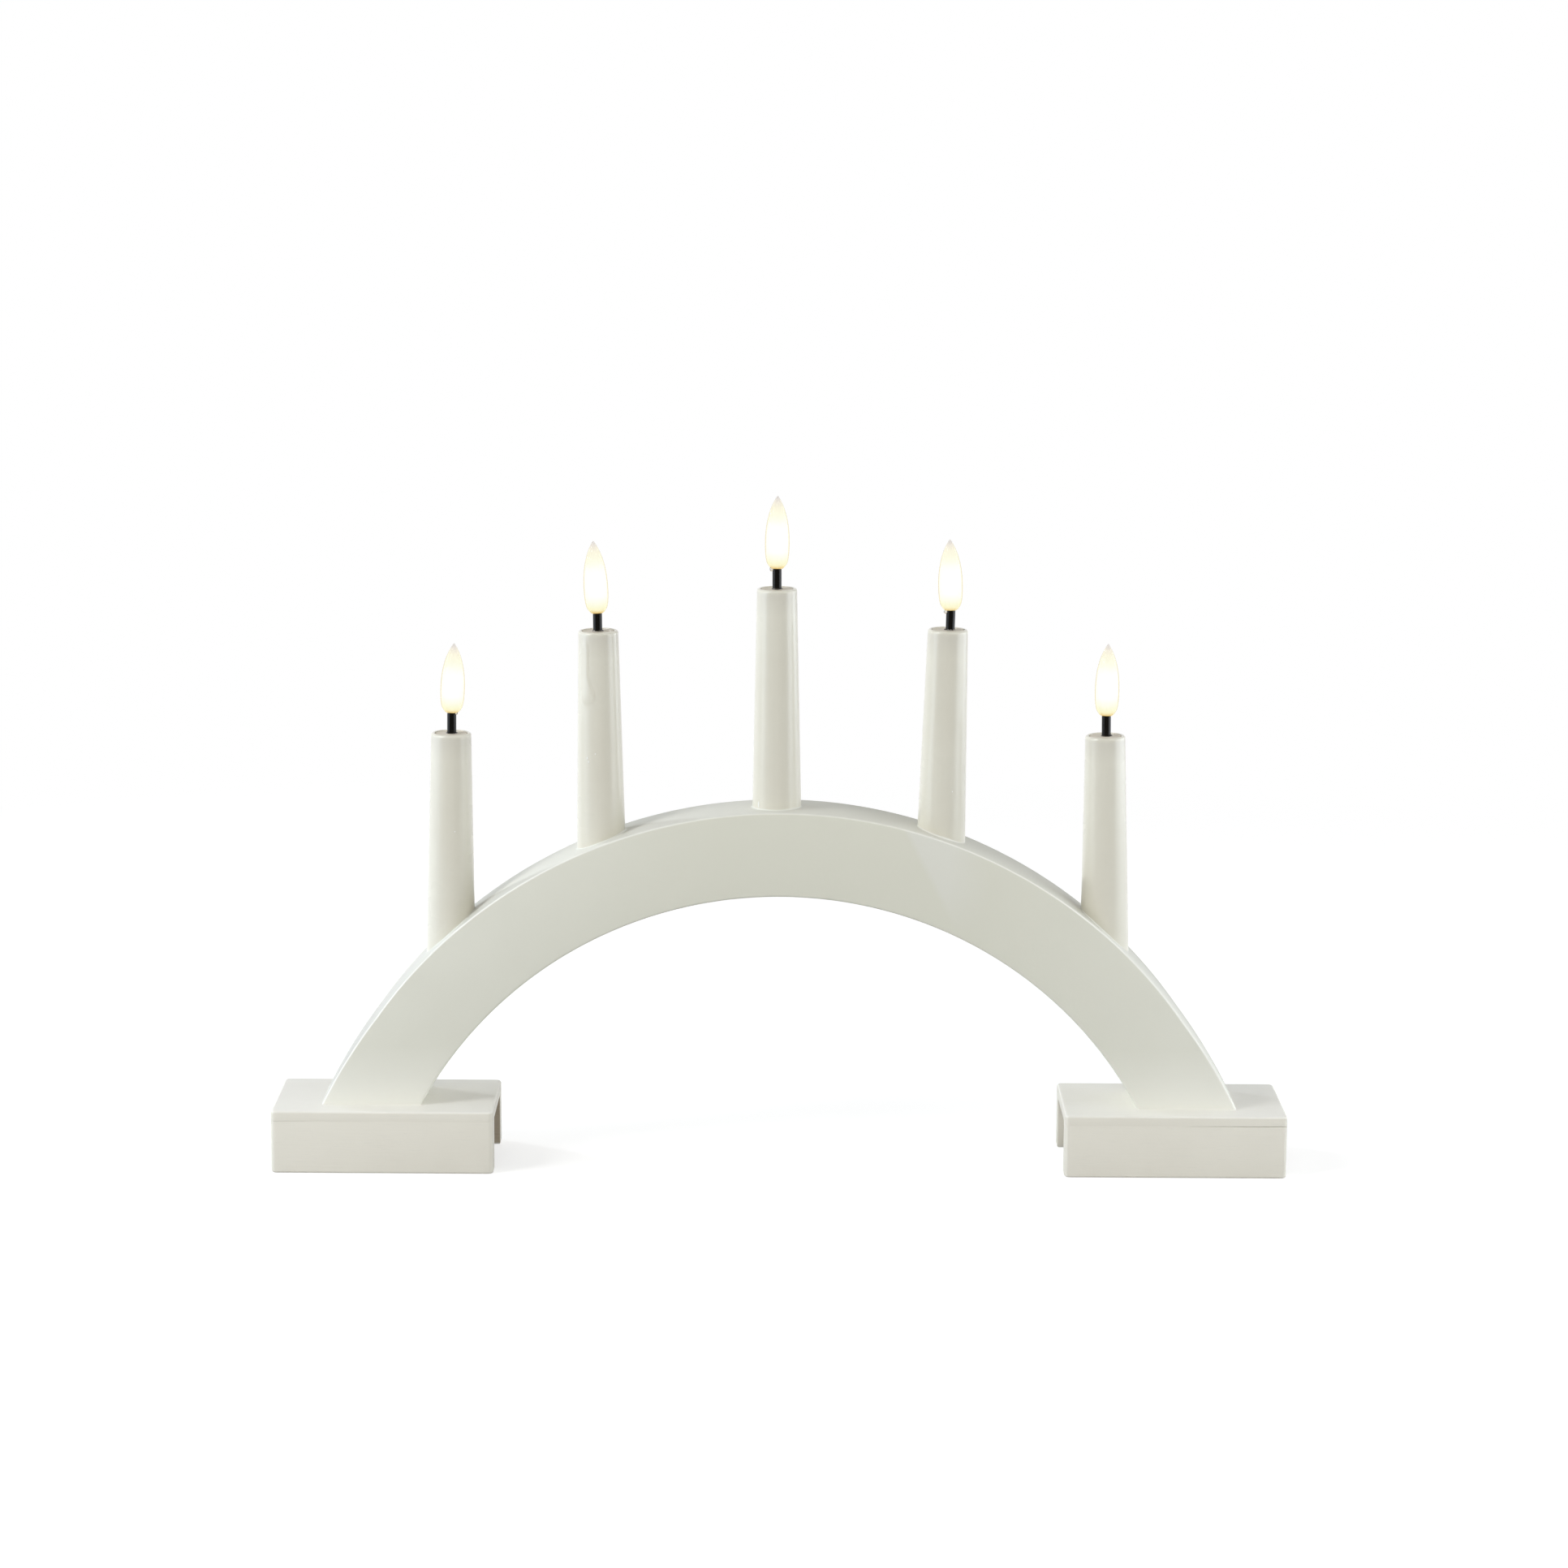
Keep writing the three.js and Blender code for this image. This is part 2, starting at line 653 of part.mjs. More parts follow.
// Tapered coil from its plate to the cell's flat end
function spring(plateX, cellX, y) {
  const reach = Math.sign(cellX - plateX) * (seatGap + springWire / 2);
  const count = springTurns * springSteps;
  const stations = Array.from({ length: count + 1 }, (_, step) => {
    const share = step / count;
    const angle = 2 * Math.PI * springTurns * share;
    const radius = (THREE.MathUtils.lerp(springBaseDiameter, springTipDiameter, share) - springWire) / 2;
    const x = THREE.MathUtils.lerp(plateX + reach, cellX - reach, share);
    return new THREE.Vector3(x, y + radius * Math.cos(angle), cellCentreZ + radius * Math.sin(angle));
  });
  return tube(stations, springWire / 2, springSides);
}
addPiece('negative_spring', spring(terminalX, frontCellBack, frontY), springSteel);
addPiece('link_spring', spring(linkX, backCellBack, backY), springSteel);

// Circuit board with its slide switch, whose knob looks out of the end of the case
const boardSide = cavitySide - boardClearance;
const boardLow = [boardInnerX, -boardSide, cavityBottom + boardClearance];
const boardHigh = [boardOuterX, boardSide, cavityTop - boardClearance];
addPiece('circuit_board', block(boardLow, boardHigh), boardGreen);

const switchBlock = block(
  [boardOuterX, -switchLength / 2, switchZ - switchHeight / 2],
  [switchOuterX, switchLength / 2, switchZ + switchHeight / 2],
);
const sliderSide = sliderBaseLength / 2;
const trackFloor = switchOuterX - sliderBaseDepth - switchClearance;
const track = block(
  [trackFloor, knobY - sliderSide - switchClearance, switchZ - sliderBaseHeight / 2 - switchClearance],
  [
    bayOuterX,
    knobY + switchTravel + sliderSide + switchClearance,
    switchZ + sliderBaseHeight / 2 + switchClearance,
  ],
);
addPiece('switch_body', cut(switchBlock, [track]), switchBlack);

const sliderBase = block(
  [switchOuterX - sliderBaseDepth, knobY - sliderSide, switchZ - sliderBaseHeight / 2],
  [switchOuterX, knobY + sliderSide, switchZ + sliderBaseHeight / 2],
);
const knob = block(
  [switchOuterX - sliderBaseDepth / 2, knobY - knobLength / 2, switchZ - knobHeight / 2],
  [caseOuterX + knobReach, knobY + knobLength / 2, switchZ + knobHeight / 2],
);
addPiece('switch_slider', join(sliderBase, knob), switchBlack);

export default candlestick;
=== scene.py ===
import math
import bmesh
import bpy
import numpy as np
from mathutils import Matrix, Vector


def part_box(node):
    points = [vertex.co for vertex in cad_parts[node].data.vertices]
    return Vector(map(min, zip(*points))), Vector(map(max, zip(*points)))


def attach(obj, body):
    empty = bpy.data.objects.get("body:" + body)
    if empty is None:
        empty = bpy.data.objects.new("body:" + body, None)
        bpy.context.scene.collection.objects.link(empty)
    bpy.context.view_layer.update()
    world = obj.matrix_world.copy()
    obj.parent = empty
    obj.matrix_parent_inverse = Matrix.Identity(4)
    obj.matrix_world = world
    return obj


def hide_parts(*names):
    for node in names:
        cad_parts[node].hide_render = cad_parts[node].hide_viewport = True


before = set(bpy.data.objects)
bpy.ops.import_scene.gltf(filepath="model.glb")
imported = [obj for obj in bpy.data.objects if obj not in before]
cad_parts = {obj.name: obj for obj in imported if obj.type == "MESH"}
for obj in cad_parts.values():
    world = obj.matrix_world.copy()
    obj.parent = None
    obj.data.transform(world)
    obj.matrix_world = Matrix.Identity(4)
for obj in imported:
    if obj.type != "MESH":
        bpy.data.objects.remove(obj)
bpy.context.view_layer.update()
print("frame loaded:", len(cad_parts), "nodes")

mm = 0.001  # shapes are worked out in millimetres and put into the mesh in metres
stand = "candlestick"  # the body that carries all but the lid and the slider
candleCount = 5
smoothLimit = 38  # degrees from which an edge shows as sharp
wireSmooth = 50  # the same for the few-sided wires
weldReach = 1e-6  # metres within which two points become one
leastCorner = 0.03  # a corner keeps this radius however far a ring is drawn in


# Reading the frame

def nodeBox(node):  # lowest and highest corner in millimetres
    return [np.array(corner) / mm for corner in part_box(node)]


# Axis of a turned node: the direction along which its points spread most, from one end to the other
def nodeAxis(node, towards=(0, 0, 1)):
    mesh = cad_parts[node].data
    flat = np.empty(3 * len(mesh.vertices), np.float32)
    mesh.vertices.foreach_get("co", flat)
    points = np.unique(np.round(flat.reshape(-1, 3).astype(float) / mm, 3), axis=0)
    middle = points.mean(axis=0)
    up = np.linalg.svd(points - middle, full_matrices=False)[2][0]
    up *= np.sign(up @ np.array(towards, float))
    along = (points - middle) @ up
    side = np.array([0.0, 1.0, 0.0])
    across = np.cross(side, up)
    across /= np.linalg.norm(across)
    return {
        "base": middle + along.min() * up,
        "across": across,
        "side": np.cross(up, across),
        "up": up,
        "length": np.ptp(along),
    }


def movedAxis(axis, rise=0.0, across=0.0, side=0.0):  # the same directions from another starting point
    return {**axis, "base": axis["base"] + rise * axis["up"] + across * axis["across"] + side * axis["side"]}


def onAxis(axis, across, side, height):  # points from how far they lie along the axis's three directions
    return (axis["base"] + across[..., None] * axis["across"] + side[..., None] * axis["side"]
            + height[..., None] * axis["up"])


archLow, archHigh = nodeBox("arch")
footTop = archLow[2]
halfSpan = archHigh[0]
rise = archHigh[2] - footTop
outerRadius = (halfSpan**2 + rise**2) / (2 * rise)  # circle through the crown and the two outer corners
archCentre = np.array([0.0, 0.0, archHigh[2] - outerRadius])


# Making meshes

# Arc of points round a centre, as (first, second) coordinates, for angles in degrees
def arc(centre, radius, start, end, steps):
    angle = np.radians(np.linspace(start, end, steps + 1))
    return np.stack([centre[0] + radius * np.cos(angle), centre[1] + radius * np.sin(angle)], axis=1)


# Cubic curve: the four control points weighted by the Bernstein terms of t
def cubic(controls, steps):
    t = np.linspace(0, 1, steps + 1)[:, None]
    a, b, c, d = np.array(controls, float)
    return (1 - t) ** 3 * a + 3 * t * (1 - t) ** 2 * b + 3 * t**2 * (1 - t) * c + t**3 * d


# Turned surface: profile point (r, h) at angle a is at base + h up + (r + swell) (cos a across + sin a side)
def turned(profile, axis, sides, swell=0.0):
    profile = np.asarray(profile, float)
    angle = np.linspace(0, 2 * np.pi, sides, endpoint=False)
    spoke = np.cos(angle)[:, None] * axis["across"] + np.sin(angle)[:, None] * axis["side"]
    radius = profile[:, 0, None] + swell + np.zeros(sides)
    return axis["base"] + profile[:, 1, None, None] * axis["up"] + radius[..., None] * spoke


# Ball about a seat's axis: radius sin f across, tall cos f along it
def ball(seat, radius, tall, sides, steps):
    f = np.radians(np.linspace(0, 180, steps + 1))
    return turned(np.stack([radius * np.sin(f), -tall * np.cos(f)], axis=1), seat, sides)


# Round bar along a path: at each path point a ring of the radius, square to the path
def swept(path, radius, sides, flatNormal):
    path = np.asarray(path, float)
    run = np.gradient(path, axis=0)
    run /= np.linalg.norm(run, axis=1, keepdims=True)
    first = np.cross(run, np.array(flatNormal, float))
    first /= np.linalg.norm(first, axis=1, keepdims=True)
    second = np.cross(run, first)
    angle = np.linspace(0, 2 * np.pi, sides, endpoint=False)[None, :, None]
    ring = np.cos(angle) * first[:, None] + np.sin(angle) * second[:, None]
    return path[:, None] + radius * ring


# Stack of rounded rectangles: ring i reaches from low[i] to high[i] in X and Y at its own height, each corner
# an arc of its radius, with splits more points shared out along every straight side
def ringStack(low, high, height, radius, steps, splits=0):
    cornerX = np.stack([low[:, 0], high[:, 0], high[:, 0], low[:, 0]], axis=1)
    cornerY = np.stack([low[:, 1], low[:, 1], high[:, 1], high[:, 1]], axis=1)
    centreX = cornerX + np.array([1, -1, -1, 1]) * radius
    centreY = cornerY + np.array([1, 1, -1, -1]) * radius
    turn = np.radians(np.array([180, 270, 0, 90])[:, None] + np.linspace(0, 90, steps + 1))
    x = centreX[..., None] + radius[..., None] * np.cos(turn)
    y = centreY[..., None] + radius[..., None] * np.sin(turn)
    flat = np.stack([x, y], axis=-1)
    share = np.linspace(0, 1, splits + 2)[1:-1, None]
    side = (1 - share) * flat[:, :, -1:] + share * np.roll(flat[:, :, :1], -1, axis=1)
    flat = np.concatenate([flat, side], axis=2).reshape(len(height), -1, 2)
    return np.concatenate([flat, np.broadcast_to(height[:, None, None], flat.shape[:2] + (1,))], axis=2)


# Rounded block: rings drawn in at the ends by a quarter circle, inset e (1 - sin f) at height e (1 - cos f),
# with one more ring on each flat end so that it shades flat
def roundedBlock(low, high, corners, bottomEdge, topEdge, steps=5, support=0.4, splits=0):
    f = np.radians(np.linspace(0, 90, steps + 1))
    inset = np.concatenate([[bottomEdge + support], bottomEdge * (1 - np.sin(f)),
                            topEdge * (1 - np.sin(f[::-1])), [topEdge + support]])[:, None]
    height = np.concatenate([[low[2]], low[2] + bottomEdge * (1 - np.cos(f)),
                             high[2] - topEdge * (1 - np.cos(f[::-1])), [high[2]]])
    radius = np.maximum(np.array(corners, float) - inset, leastCorner)  # ring by corner
    return ringStack(np.array(low[:2]) + inset, np.array(high[:2]) - inset, height, radius, steps, splits)


# Quads over a grid: point (i, j) with (i, j+1), (i+1, j+1) and (i+1, j), each row a closed ring, and the rows
# closed too where asked; UV is the share round the ring, and the share from row to row or the one given
def gridFaces(rows, cols, closeRows, start, along):
    i, j = np.arange(rows if closeRows else rows - 1), np.arange(cols)
    u = np.arange(cols + 1) / cols
    v = np.arange(rows + 1) / len(i) if along is None else np.append(along, along[0])
    i, j = (index.ravel() for index in np.meshgrid(i, j, indexing="ij"))
    corners = [(i, j), (i, j + 1), (i + 1, j + 1), (i + 1, j)]
    faces = np.stack([start + (a % rows) * cols + b % cols for a, b in corners], axis=1)
    shares = np.stack([np.stack([u[b], v[a]], axis=-1) for a, b in corners], axis=1)
    return faces, shares


# One piece from one or more grids; capped grids get a face over their first and last rows
def surfacePiece(name, grids, closeRows=False, capped=False, smoothAngle=smoothLimit, along=None):
    grids = grids if isinstance(grids, list) else [grids]
    points, faces, shares, start = [], [], [], 0
    for grid in grids:
        rows, cols = grid.shape[:2]
        quads, quadShares = gridFaces(rows, cols, closeRows, start, along)
        points.append(grid.reshape(-1, 3))
        faces += quads.tolist()
        shares.append(quadShares.reshape(-1, 2))
        if capped:
            ring = np.arange(cols)
            faces += [(start + ring[::-1]).tolist(), (start + (rows - 1) * cols + ring).tolist()]
            share = ring / cols
            shares += [np.stack([share, 0 * share], axis=1), np.stack([share, 0 * share + 1], axis=1)]
        start += rows * cols
    mesh = bpy.data.meshes.new(name)
    mesh.from_pydata((np.concatenate(points) * mm).tolist(), [], faces)
    layer = mesh.uv_layers.new(name="UVMap")
    layer.data.foreach_set("uv", np.concatenate(shares).astype(np.float32).ravel())
    weld(mesh)
    piece = addObject(name, mesh)
    smooth(piece, smoothAngle)
    return piece


def addObject(name, data):
    thing = bpy.data.objects.new(name, data)
    bpy.context.scene.collection.objects.link(thing)
    return thing


def weld(mesh):  # closes seams and poles, then turns the faces outwards
    shape = bmesh.new()
    shape.from_mesh(mesh)
    bmesh.ops.remove_doubles(shape, verts=shape.verts, dist=weldReach)
    bmesh.ops.dissolve_degenerate(shape, edges=shape.edges, dist=1e-8)
    bmesh.ops.recalc_face_normals(shape, faces=shape.faces)
    shape.to_mesh(mesh)
    shape.free()


def smooth(piece, angle):
    mesh = piece.data
    mesh.polygons.foreach_set("use_smooth", np.ones(len(mesh.polygons), bool))
    mesh.set_sharp_from_angle(angle=math.radians(angle))


def cutPiece(piece, tools, smoothAngle=smoothLimit):  # takes the tools out of the piece and deletes them
    for tool in tools:
        cutter = piece.modifiers.new("cut", "BOOLEAN")
        cutter.object = tool
        cutter.solver = "EXACT"
    bpy.context.view_layer.update()
    whole = piece.evaluated_get(bpy.context.evaluated_depsgraph_get())
    mesh = bpy.data.meshes.new_from_object(whole)
    piece.modifiers.clear()
    piece.data = mesh
    mesh.name = piece.name
    for tool in tools:
        bpy.data.objects.remove(tool)
    smooth(piece, smoothAngle)


# A merged copy of a CAD node with its edges rounded, for moulded and pressed pieces
def roundedCopy(node, name, edge, material, body=stand, smoothAngle=smoothLimit):
    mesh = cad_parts[node].data.copy()
    mesh.name = name
    mesh.materials.clear()
    shape = bmesh.new()
    shape.from_mesh(mesh)
    bmesh.ops.remove_doubles(shape, verts=shape.verts, dist=weldReach)
    bmesh.ops.dissolve_limit(shape, angle_limit=math.radians(1), verts=shape.verts, edges=shape.edges)
    shape.to_mesh(mesh)
    shape.free()
    piece = addObject(name, mesh)
    if edge:
        rounding = piece.modifiers.new("edge", "BEVEL")
        rounding.width = edge * mm
        rounding.segments = 2
        rounding.limit_method = "ANGLE"
        rounding.angle_limit = math.radians(50)
        rounding.use_clamp_overlap = True
        rounding.harden_normals = True
    smooth(piece, smoothAngle)
    return dress(piece, material, [node], body)


def dress(piece, material, replaced=(), body=stand):
    piece.data.materials.clear()
    piece.data.materials.append(material)
    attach(piece, body)
    if replaced:
        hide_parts(*replaced)
    return piece


def addPiece(name, grids, material, slot, replaced=(), body=stand, **shape):
    return dress(surfacePiece(name, grids, **shape), material, replaced, body)


def paintNode(node, material):  # a CAD node that is right as it is gets the finish alone
    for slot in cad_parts[node].material_slots:
        slot.material = material


# Node helpers

def addNode(tree, kind, sockets=None, **settings):
    node = tree.nodes.new("ShaderNode" + kind)
    for key, value in settings.items():
        setattr(node, key, value)
    for key, value in (sockets or {}).items():
        if isinstance(value, bpy.types.NodeSocket):
            tree.links.new(value, node.inputs[key])
        else:
            node.inputs[key].default_value = value
    return node


def calc(tree, operation, first, second=0.0):
    return addNode(tree, "Math", {0: first, 1: second}, operation=operation).outputs[0]


def product(tree, first, *others):
    for other in others:
        first = calc(tree, "MULTIPLY", first, other)
    return first


def vectorMath(tree, operation, first, second=(0, 0, 0)):
    node = addNode(tree, "VectorMath", {0: first, 1: second}, operation=operation)
    return node.outputs["Value" if operation in ("LENGTH", "DOT_PRODUCT") else "Vector"]


def split(tree, vector):  # its x, y and z
    return addNode(tree, "SeparateXYZ", {0: vector}).outputs


def remap(tree, value, fromLow, fromHigh, toLow=0.0, toHigh=1.0):
    sockets = {"Value": value, "From Min": fromLow, "From Max": fromHigh, "To Min": toLow, "To Max": toHigh}
    return addNode(tree, "MapRange", sockets, clamp=True).outputs[0]


def band(tree, length, start, end, low=0.0, high=1.0):  # the same, with the ends in millimetres
    return remap(tree, length, start * mm, end * mm, low, high)


def uneven(tree, noiseValue, low=0.0, high=1.0):  # most of a noise lies from 0.3 to 0.7: drawn out to a range
    return remap(tree, noiseValue, 0.3, 0.7, low, high)


def mixColours(tree, factor, first, second):
    first, second = ((*tone, 1) if isinstance(tone, tuple) else tone for tone in (first, second))
    return addNode(tree, "Mix", {0: factor, 6: first, 7: second}, data_type="RGBA").outputs[2]


def noise(tree, vector, scale, detail, roughness):
    sockets = {"Vector": vector, "Scale": scale, "Detail": detail, "Roughness": roughness}
    return addNode(tree, "TexNoise", sockets).outputs["Fac"]


def bump(tree, height, distance, strength):
    return addNode(tree, "Bump", {"Height": height, "Distance": distance, "Strength": strength}).outputs[0]


def ramp(tree, value, stops):
    node = addNode(tree, "ValToRGB", {0: value})
    elements = node.color_ramp.elements
    while len(elements) < len(stops):
        elements.new(0.5)
    for element, (place, colour) in zip(elements, stops):
        element.position = place
        element.color = (*colour, 1)
    return node.outputs[0]


def startGroup(name, inputs, outputs):
    tree = bpy.data.node_groups.new(name, "ShaderNodeTree")
    tree.interface.new_socket("Vector", in_out="INPUT", socket_type="NodeSocketVector")
    for label, value in inputs.items():
        socket = tree.interface.new_socket(label, in_out="INPUT", socket_type="NodeSocketFloat")
        socket.default_value = value
    for label in outputs:
        tree.interface.new_socket(label, in_out="OUTPUT", socket_type="NodeSocketFloat")
    return tree, tree.nodes.new("NodeGroupInput").outputs, tree.nodes.new("NodeGroupOutput").inputs


# A shared effect on the piece's own coordinates: peel=... sets its input "Peel" and so on
def effect(tree, group, place, **values):
    sockets = {"Vector": place["Object"], **{key.capitalize(): value for key, value in values.items()}}
    return addNode(tree, "Group", sockets, node_tree=group).outputs


def startMaterial(name, constants):
    material = bpy.data.materials.new(name)
    material.use_nodes = True
    tree = material.node_tree
    shader = tree.nodes["Principled BSDF"]
    for key, value in constants.items():
        shader.inputs[key].default_value = value
    return material, tree, shader, addNode(tree, "TexCoord").outputs


def feed(tree, shader, **sources):  # baseColor=... feeds "Base Color" and so on
    names = {"baseColor": "Base Color", "roughness": "Roughness", "normal": "Normal",
             "emission": "Emission Color", "coat": "Coat Weight", "metallic": "Metallic"}
    for key, source in sources.items():
        tree.links.new(source, shader.inputs[names[key]])


# Shared effects

# Fibres: noise drawn out along X by the ratio of the two scales; pores are its darkest threads
def makeFibreGroup():
    tree, given, out = startGroup("woodFibre", {"Along": 30.0, "Across": 700.0}, ["Fibre", "Pore"])
    scales = {0: given["Along"], 1: given["Across"], 2: given["Across"]}
    place = vectorMath(tree, "MULTIPLY", given["Vector"], addNode(tree, "CombineXYZ", scales).outputs[0])
    tree.links.new(noise(tree, place, 1.0, 4.0, 0.6), out["Fibre"])
    tree.links.new(remap(tree, noise(tree, place, 2.3, 2.0, 0.5), 0.36, 0.30), out["Pore"])
    return tree


# Paint film: broad unevenness of the coat, and the fine peel that a roller or spray leaves
def makeFilmGroup():
    tree, given, out = startGroup("paintFilm", {"Broad": 18.0, "Peel": 900.0}, ["Mottle", "Peel"])
    tree.links.new(noise(tree, given["Vector"], given["Broad"], 3.0, 0.6), out["Mottle"])
    tree.links.new(noise(tree, given["Vector"], given["Peel"], 2.0, 0.5), out["Peel"])
    return tree


# Specks: round spots about the cell points of a Voronoi pattern, kept where the cell's random value is low
def makeSpeckGroup():
    tree, given, out = startGroup("strayMarks", {"Scale": 60.0, "Size": 0.03, "Share": 0.2}, ["Mask"])
    cells = addNode(tree, "TexVoronoi", {"Vector": given["Vector"], "Scale": given["Scale"]})
    spot = calc(tree, "LESS_THAN", cells.outputs["Distance"], given["Size"])
    random = addNode(tree, "SeparateColor", {0: cells.outputs["Color"]}).outputs[0]
    tree.links.new(product(tree, spot, calc(tree, "LESS_THAN", random, given["Share"])), out["Mask"])
    return tree


# Moulded surface: fine spark texture and slow tone change of an injection-moulded part
def makeMouldGroup():
    tree, given, out = startGroup("mouldedSkin", {"Grain": 2500.0}, ["Grain", "Tone"])
    tree.links.new(noise(tree, given["Vector"], given["Grain"], 2.0, 0.5), out["Grain"])
    tree.links.new(noise(tree, given["Vector"], 60.0, 3.0, 0.6), out["Tone"])
    return tree


fibreGroup = makeFibreGroup()
filmGroup = makeFilmGroup()
speckGroup = makeSpeckGroup()
mouldGroup = makeMouldGroup()
print("shared effects built")


# Finishes: tones, then "rough" from least to most, and "relief" as the bump's depth in metres and strength

def speckle(tree, place, colour, tone, strength, **values):
    marks = effect(tree, speckGroup, place, **values)
    return mixColours(tree, product(tree, marks["Mask"], strength), colour, tone)


# Paint on the arch, with pairs in millimetres from where a tone begins to where it is full
archLook = {
    "light": (0.722, 0.72, 0.635),
    "dull": (0.687, 0.685, 0.60),
    "leg": (0.80, 0.795, 0.725),  # painted light: lighter at the foot of the legs, standing in for light thrown up from the foot tops
    "legLightHeight": 24.0,
    "crown": (0.672, 0.668, 0.575),  # painted shade: a shade duller round the crown, less lit than the legs
    "crownShadeMiddle": 25.0,
    "crownShadeEnds": (130.0, 50.0),  # away from that middle, either way
    "wipe": (0.705, 0.703, 0.637),
    "wipeAcross": (0.890, 0.0, 0.456),  # square to the wipe's sharp side
    "wipeStart": (104.7, 107.2),  # along that direction
    "wipeEnds": (82.0, 66.0),  # along X
    "wipeFoot": (95.0, 112.0),  # upwards
    "edge": (0.86, 0.855, 0.80),  # painted highlight: lighter along the outer rounded edges, where they catch the light
    "highlightEnds": (40.0, 85.0),  # away from the crown, either way
    "highlightLeast": 0.3,  # what there is of it at the crown
    "highlightDepth": (2.0, 1.5),  # in from the outside
    "highlightTilt": [(0.25, 0.5), (0.97, 0.85)],  # how much the normal leans to the front or back: from, and to
    "top": (0.69, 0.69, 0.63),  # painted shade: its own, slightly darker tone on the curved outside, for how light falls there
    "topDepth": (0.7, 0.1),
    "topShadeTilt": (0.9, 0.6),
    "low": (0.495, 0.49, 0.45),  # painted shade: greyer still low on the left leg, holding back the strong light from the left there
    "lowShadeEnds": (-115.0, -170.0),
    "front": (0.71, 0.707, 0.635),  # painted light: lighter towards the front right of the crown
    "back": (0.505, 0.50, 0.44),  # and painted shade, darker towards the back there
    "shadeAcrossEnds": (-10.0, 30.0),
    "speck": (0.30, 0.27, 0.20),
    "rough": (0.40, 0.55),
    "relief": (0.00012, 0.35),
}


def archPaint():
    s = archLook
    material, tree, shader, place = startMaterial("archPaint", {"Specular IOR Level": 0.4})
    film = effect(tree, filmGroup, place, broad=16.0, peel=650.0)
    x, y, z = split(tree, place["Object"])
    patchy = uneven(tree, film["Mottle"], 0.6, 1.0)
    colour = mixColours(tree, uneven(tree, film["Mottle"]), s["light"], s["dull"])
    # Painted light: the legs lighter towards their foot
    colour = mixColours(tree, band(tree, z, footTop + s["legLightHeight"], footTop), colour, s["leg"])
    # Painted shade: duller round the crown
    away = calc(tree, "ABSOLUTE", calc(tree, "SUBTRACT", x, s["crownShadeMiddle"] * mm))
    colour = mixColours(tree, band(tree, away, *s["crownShadeEnds"]), colour, s["crown"])
    # A lighter wipe of the brush on the front, sharp along its left side and fading to the right
    across = vectorMath(tree, "DOT_PRODUCT", place["Object"], s["wipeAcross"])
    wipe = product(tree, band(tree, across, *s["wipeStart"]), band(tree, x, *s["wipeEnds"]),
                   band(tree, z, *s["wipeFoot"]), calc(tree, "LESS_THAN", y, 0.0), patchy)
    colour = mixColours(tree, wipe, colour, s["wipe"])
    # The distance from the arch's centre tells its curved outside from its faces, and on the rounded edges
    # the normal lies between those of the two
    spread = vectorMath(tree, "SUBTRACT", place["Object"], tuple(archCentre * mm))
    radial = vectorMath(tree, "LENGTH", vectorMath(tree, "MULTIPLY", spread, (1, 0, 1)))
    tilt = calc(tree, "ABSOLUTE", split(tree, addNode(tree, "NewGeometry").outputs["Normal"])[1])
    # Painted shade: the curved outside takes its own tones, set by how light falls on it
    outside = product(tree, band(tree, radial, *(outerRadius - depth for depth in s["topDepth"])),
                      remap(tree, tilt, *s["topShadeTilt"]), uneven(tree, film["Mottle"], 0.8, 1.0))
    # Painted light and shade across the curved outside right of the crown: lighter in front, darker behind
    slope = mixColours(tree, band(tree, y, archLow[1], archHigh[1]), s["front"], s["back"])
    top = mixColours(tree, band(tree, x, *s["shadeAcrossEnds"]), s["top"], slope)
    # Painted shade low on the left leg's outside
    top = mixColours(tree, band(tree, x, *s["lowShadeEnds"]), top, s["low"])
    colour = mixColours(tree, outside, colour, top)
    # Painted highlight along the rounded outer edges, less of it round the crown
    edge = product(tree, *(remap(tree, tilt, *ends) for ends in s["highlightTilt"]),
                   band(tree, radial, *(outerRadius - depth for depth in s["highlightDepth"])), patchy,
                   band(tree, calc(tree, "ABSOLUTE", x), *s["highlightEnds"], s["highlightLeast"], 1.0))
    colour = mixColours(tree, edge, colour, s["edge"])
    colour = speckle(tree, place, colour, s["speck"], 0.55, scale=70.0, size=0.035, share=0.10)
    feed(tree, shader, baseColor=colour, roughness=remap(tree, film["Mottle"], 0.25, 0.75, *s["rough"]),
         normal=bump(tree, film["Peel"], *s["relief"]))
    return material


footLook = {
    "light": (0.775, 0.75, 0.665),
    "dull": (0.74, 0.715, 0.63),
    "top": (0.83, 0.815, 0.755),  # painted light: lighter on the level tops, where more light falls
    "topDepth": (0.8, 0.1),
    "end": (0.64, 0.615, 0.54),  # darker on the faces that look along X, the ends
    "endTilt": (0.75, 0.95),
    "thread": (0.66, 0.65, 0.585),
    "speck": (0.30, 0.27, 0.20),
    "rawWood": (0.50, 0.43, 0.33),
    "rawShade": (0.36, 0.29, 0.21),
    "drift": 16.0,  # how far paint drifted into the right foot's channel
    "driftMost": 0.8,
    "rough": (0.42, 0.58),
    "relief": (0.00015, 0.38),
}


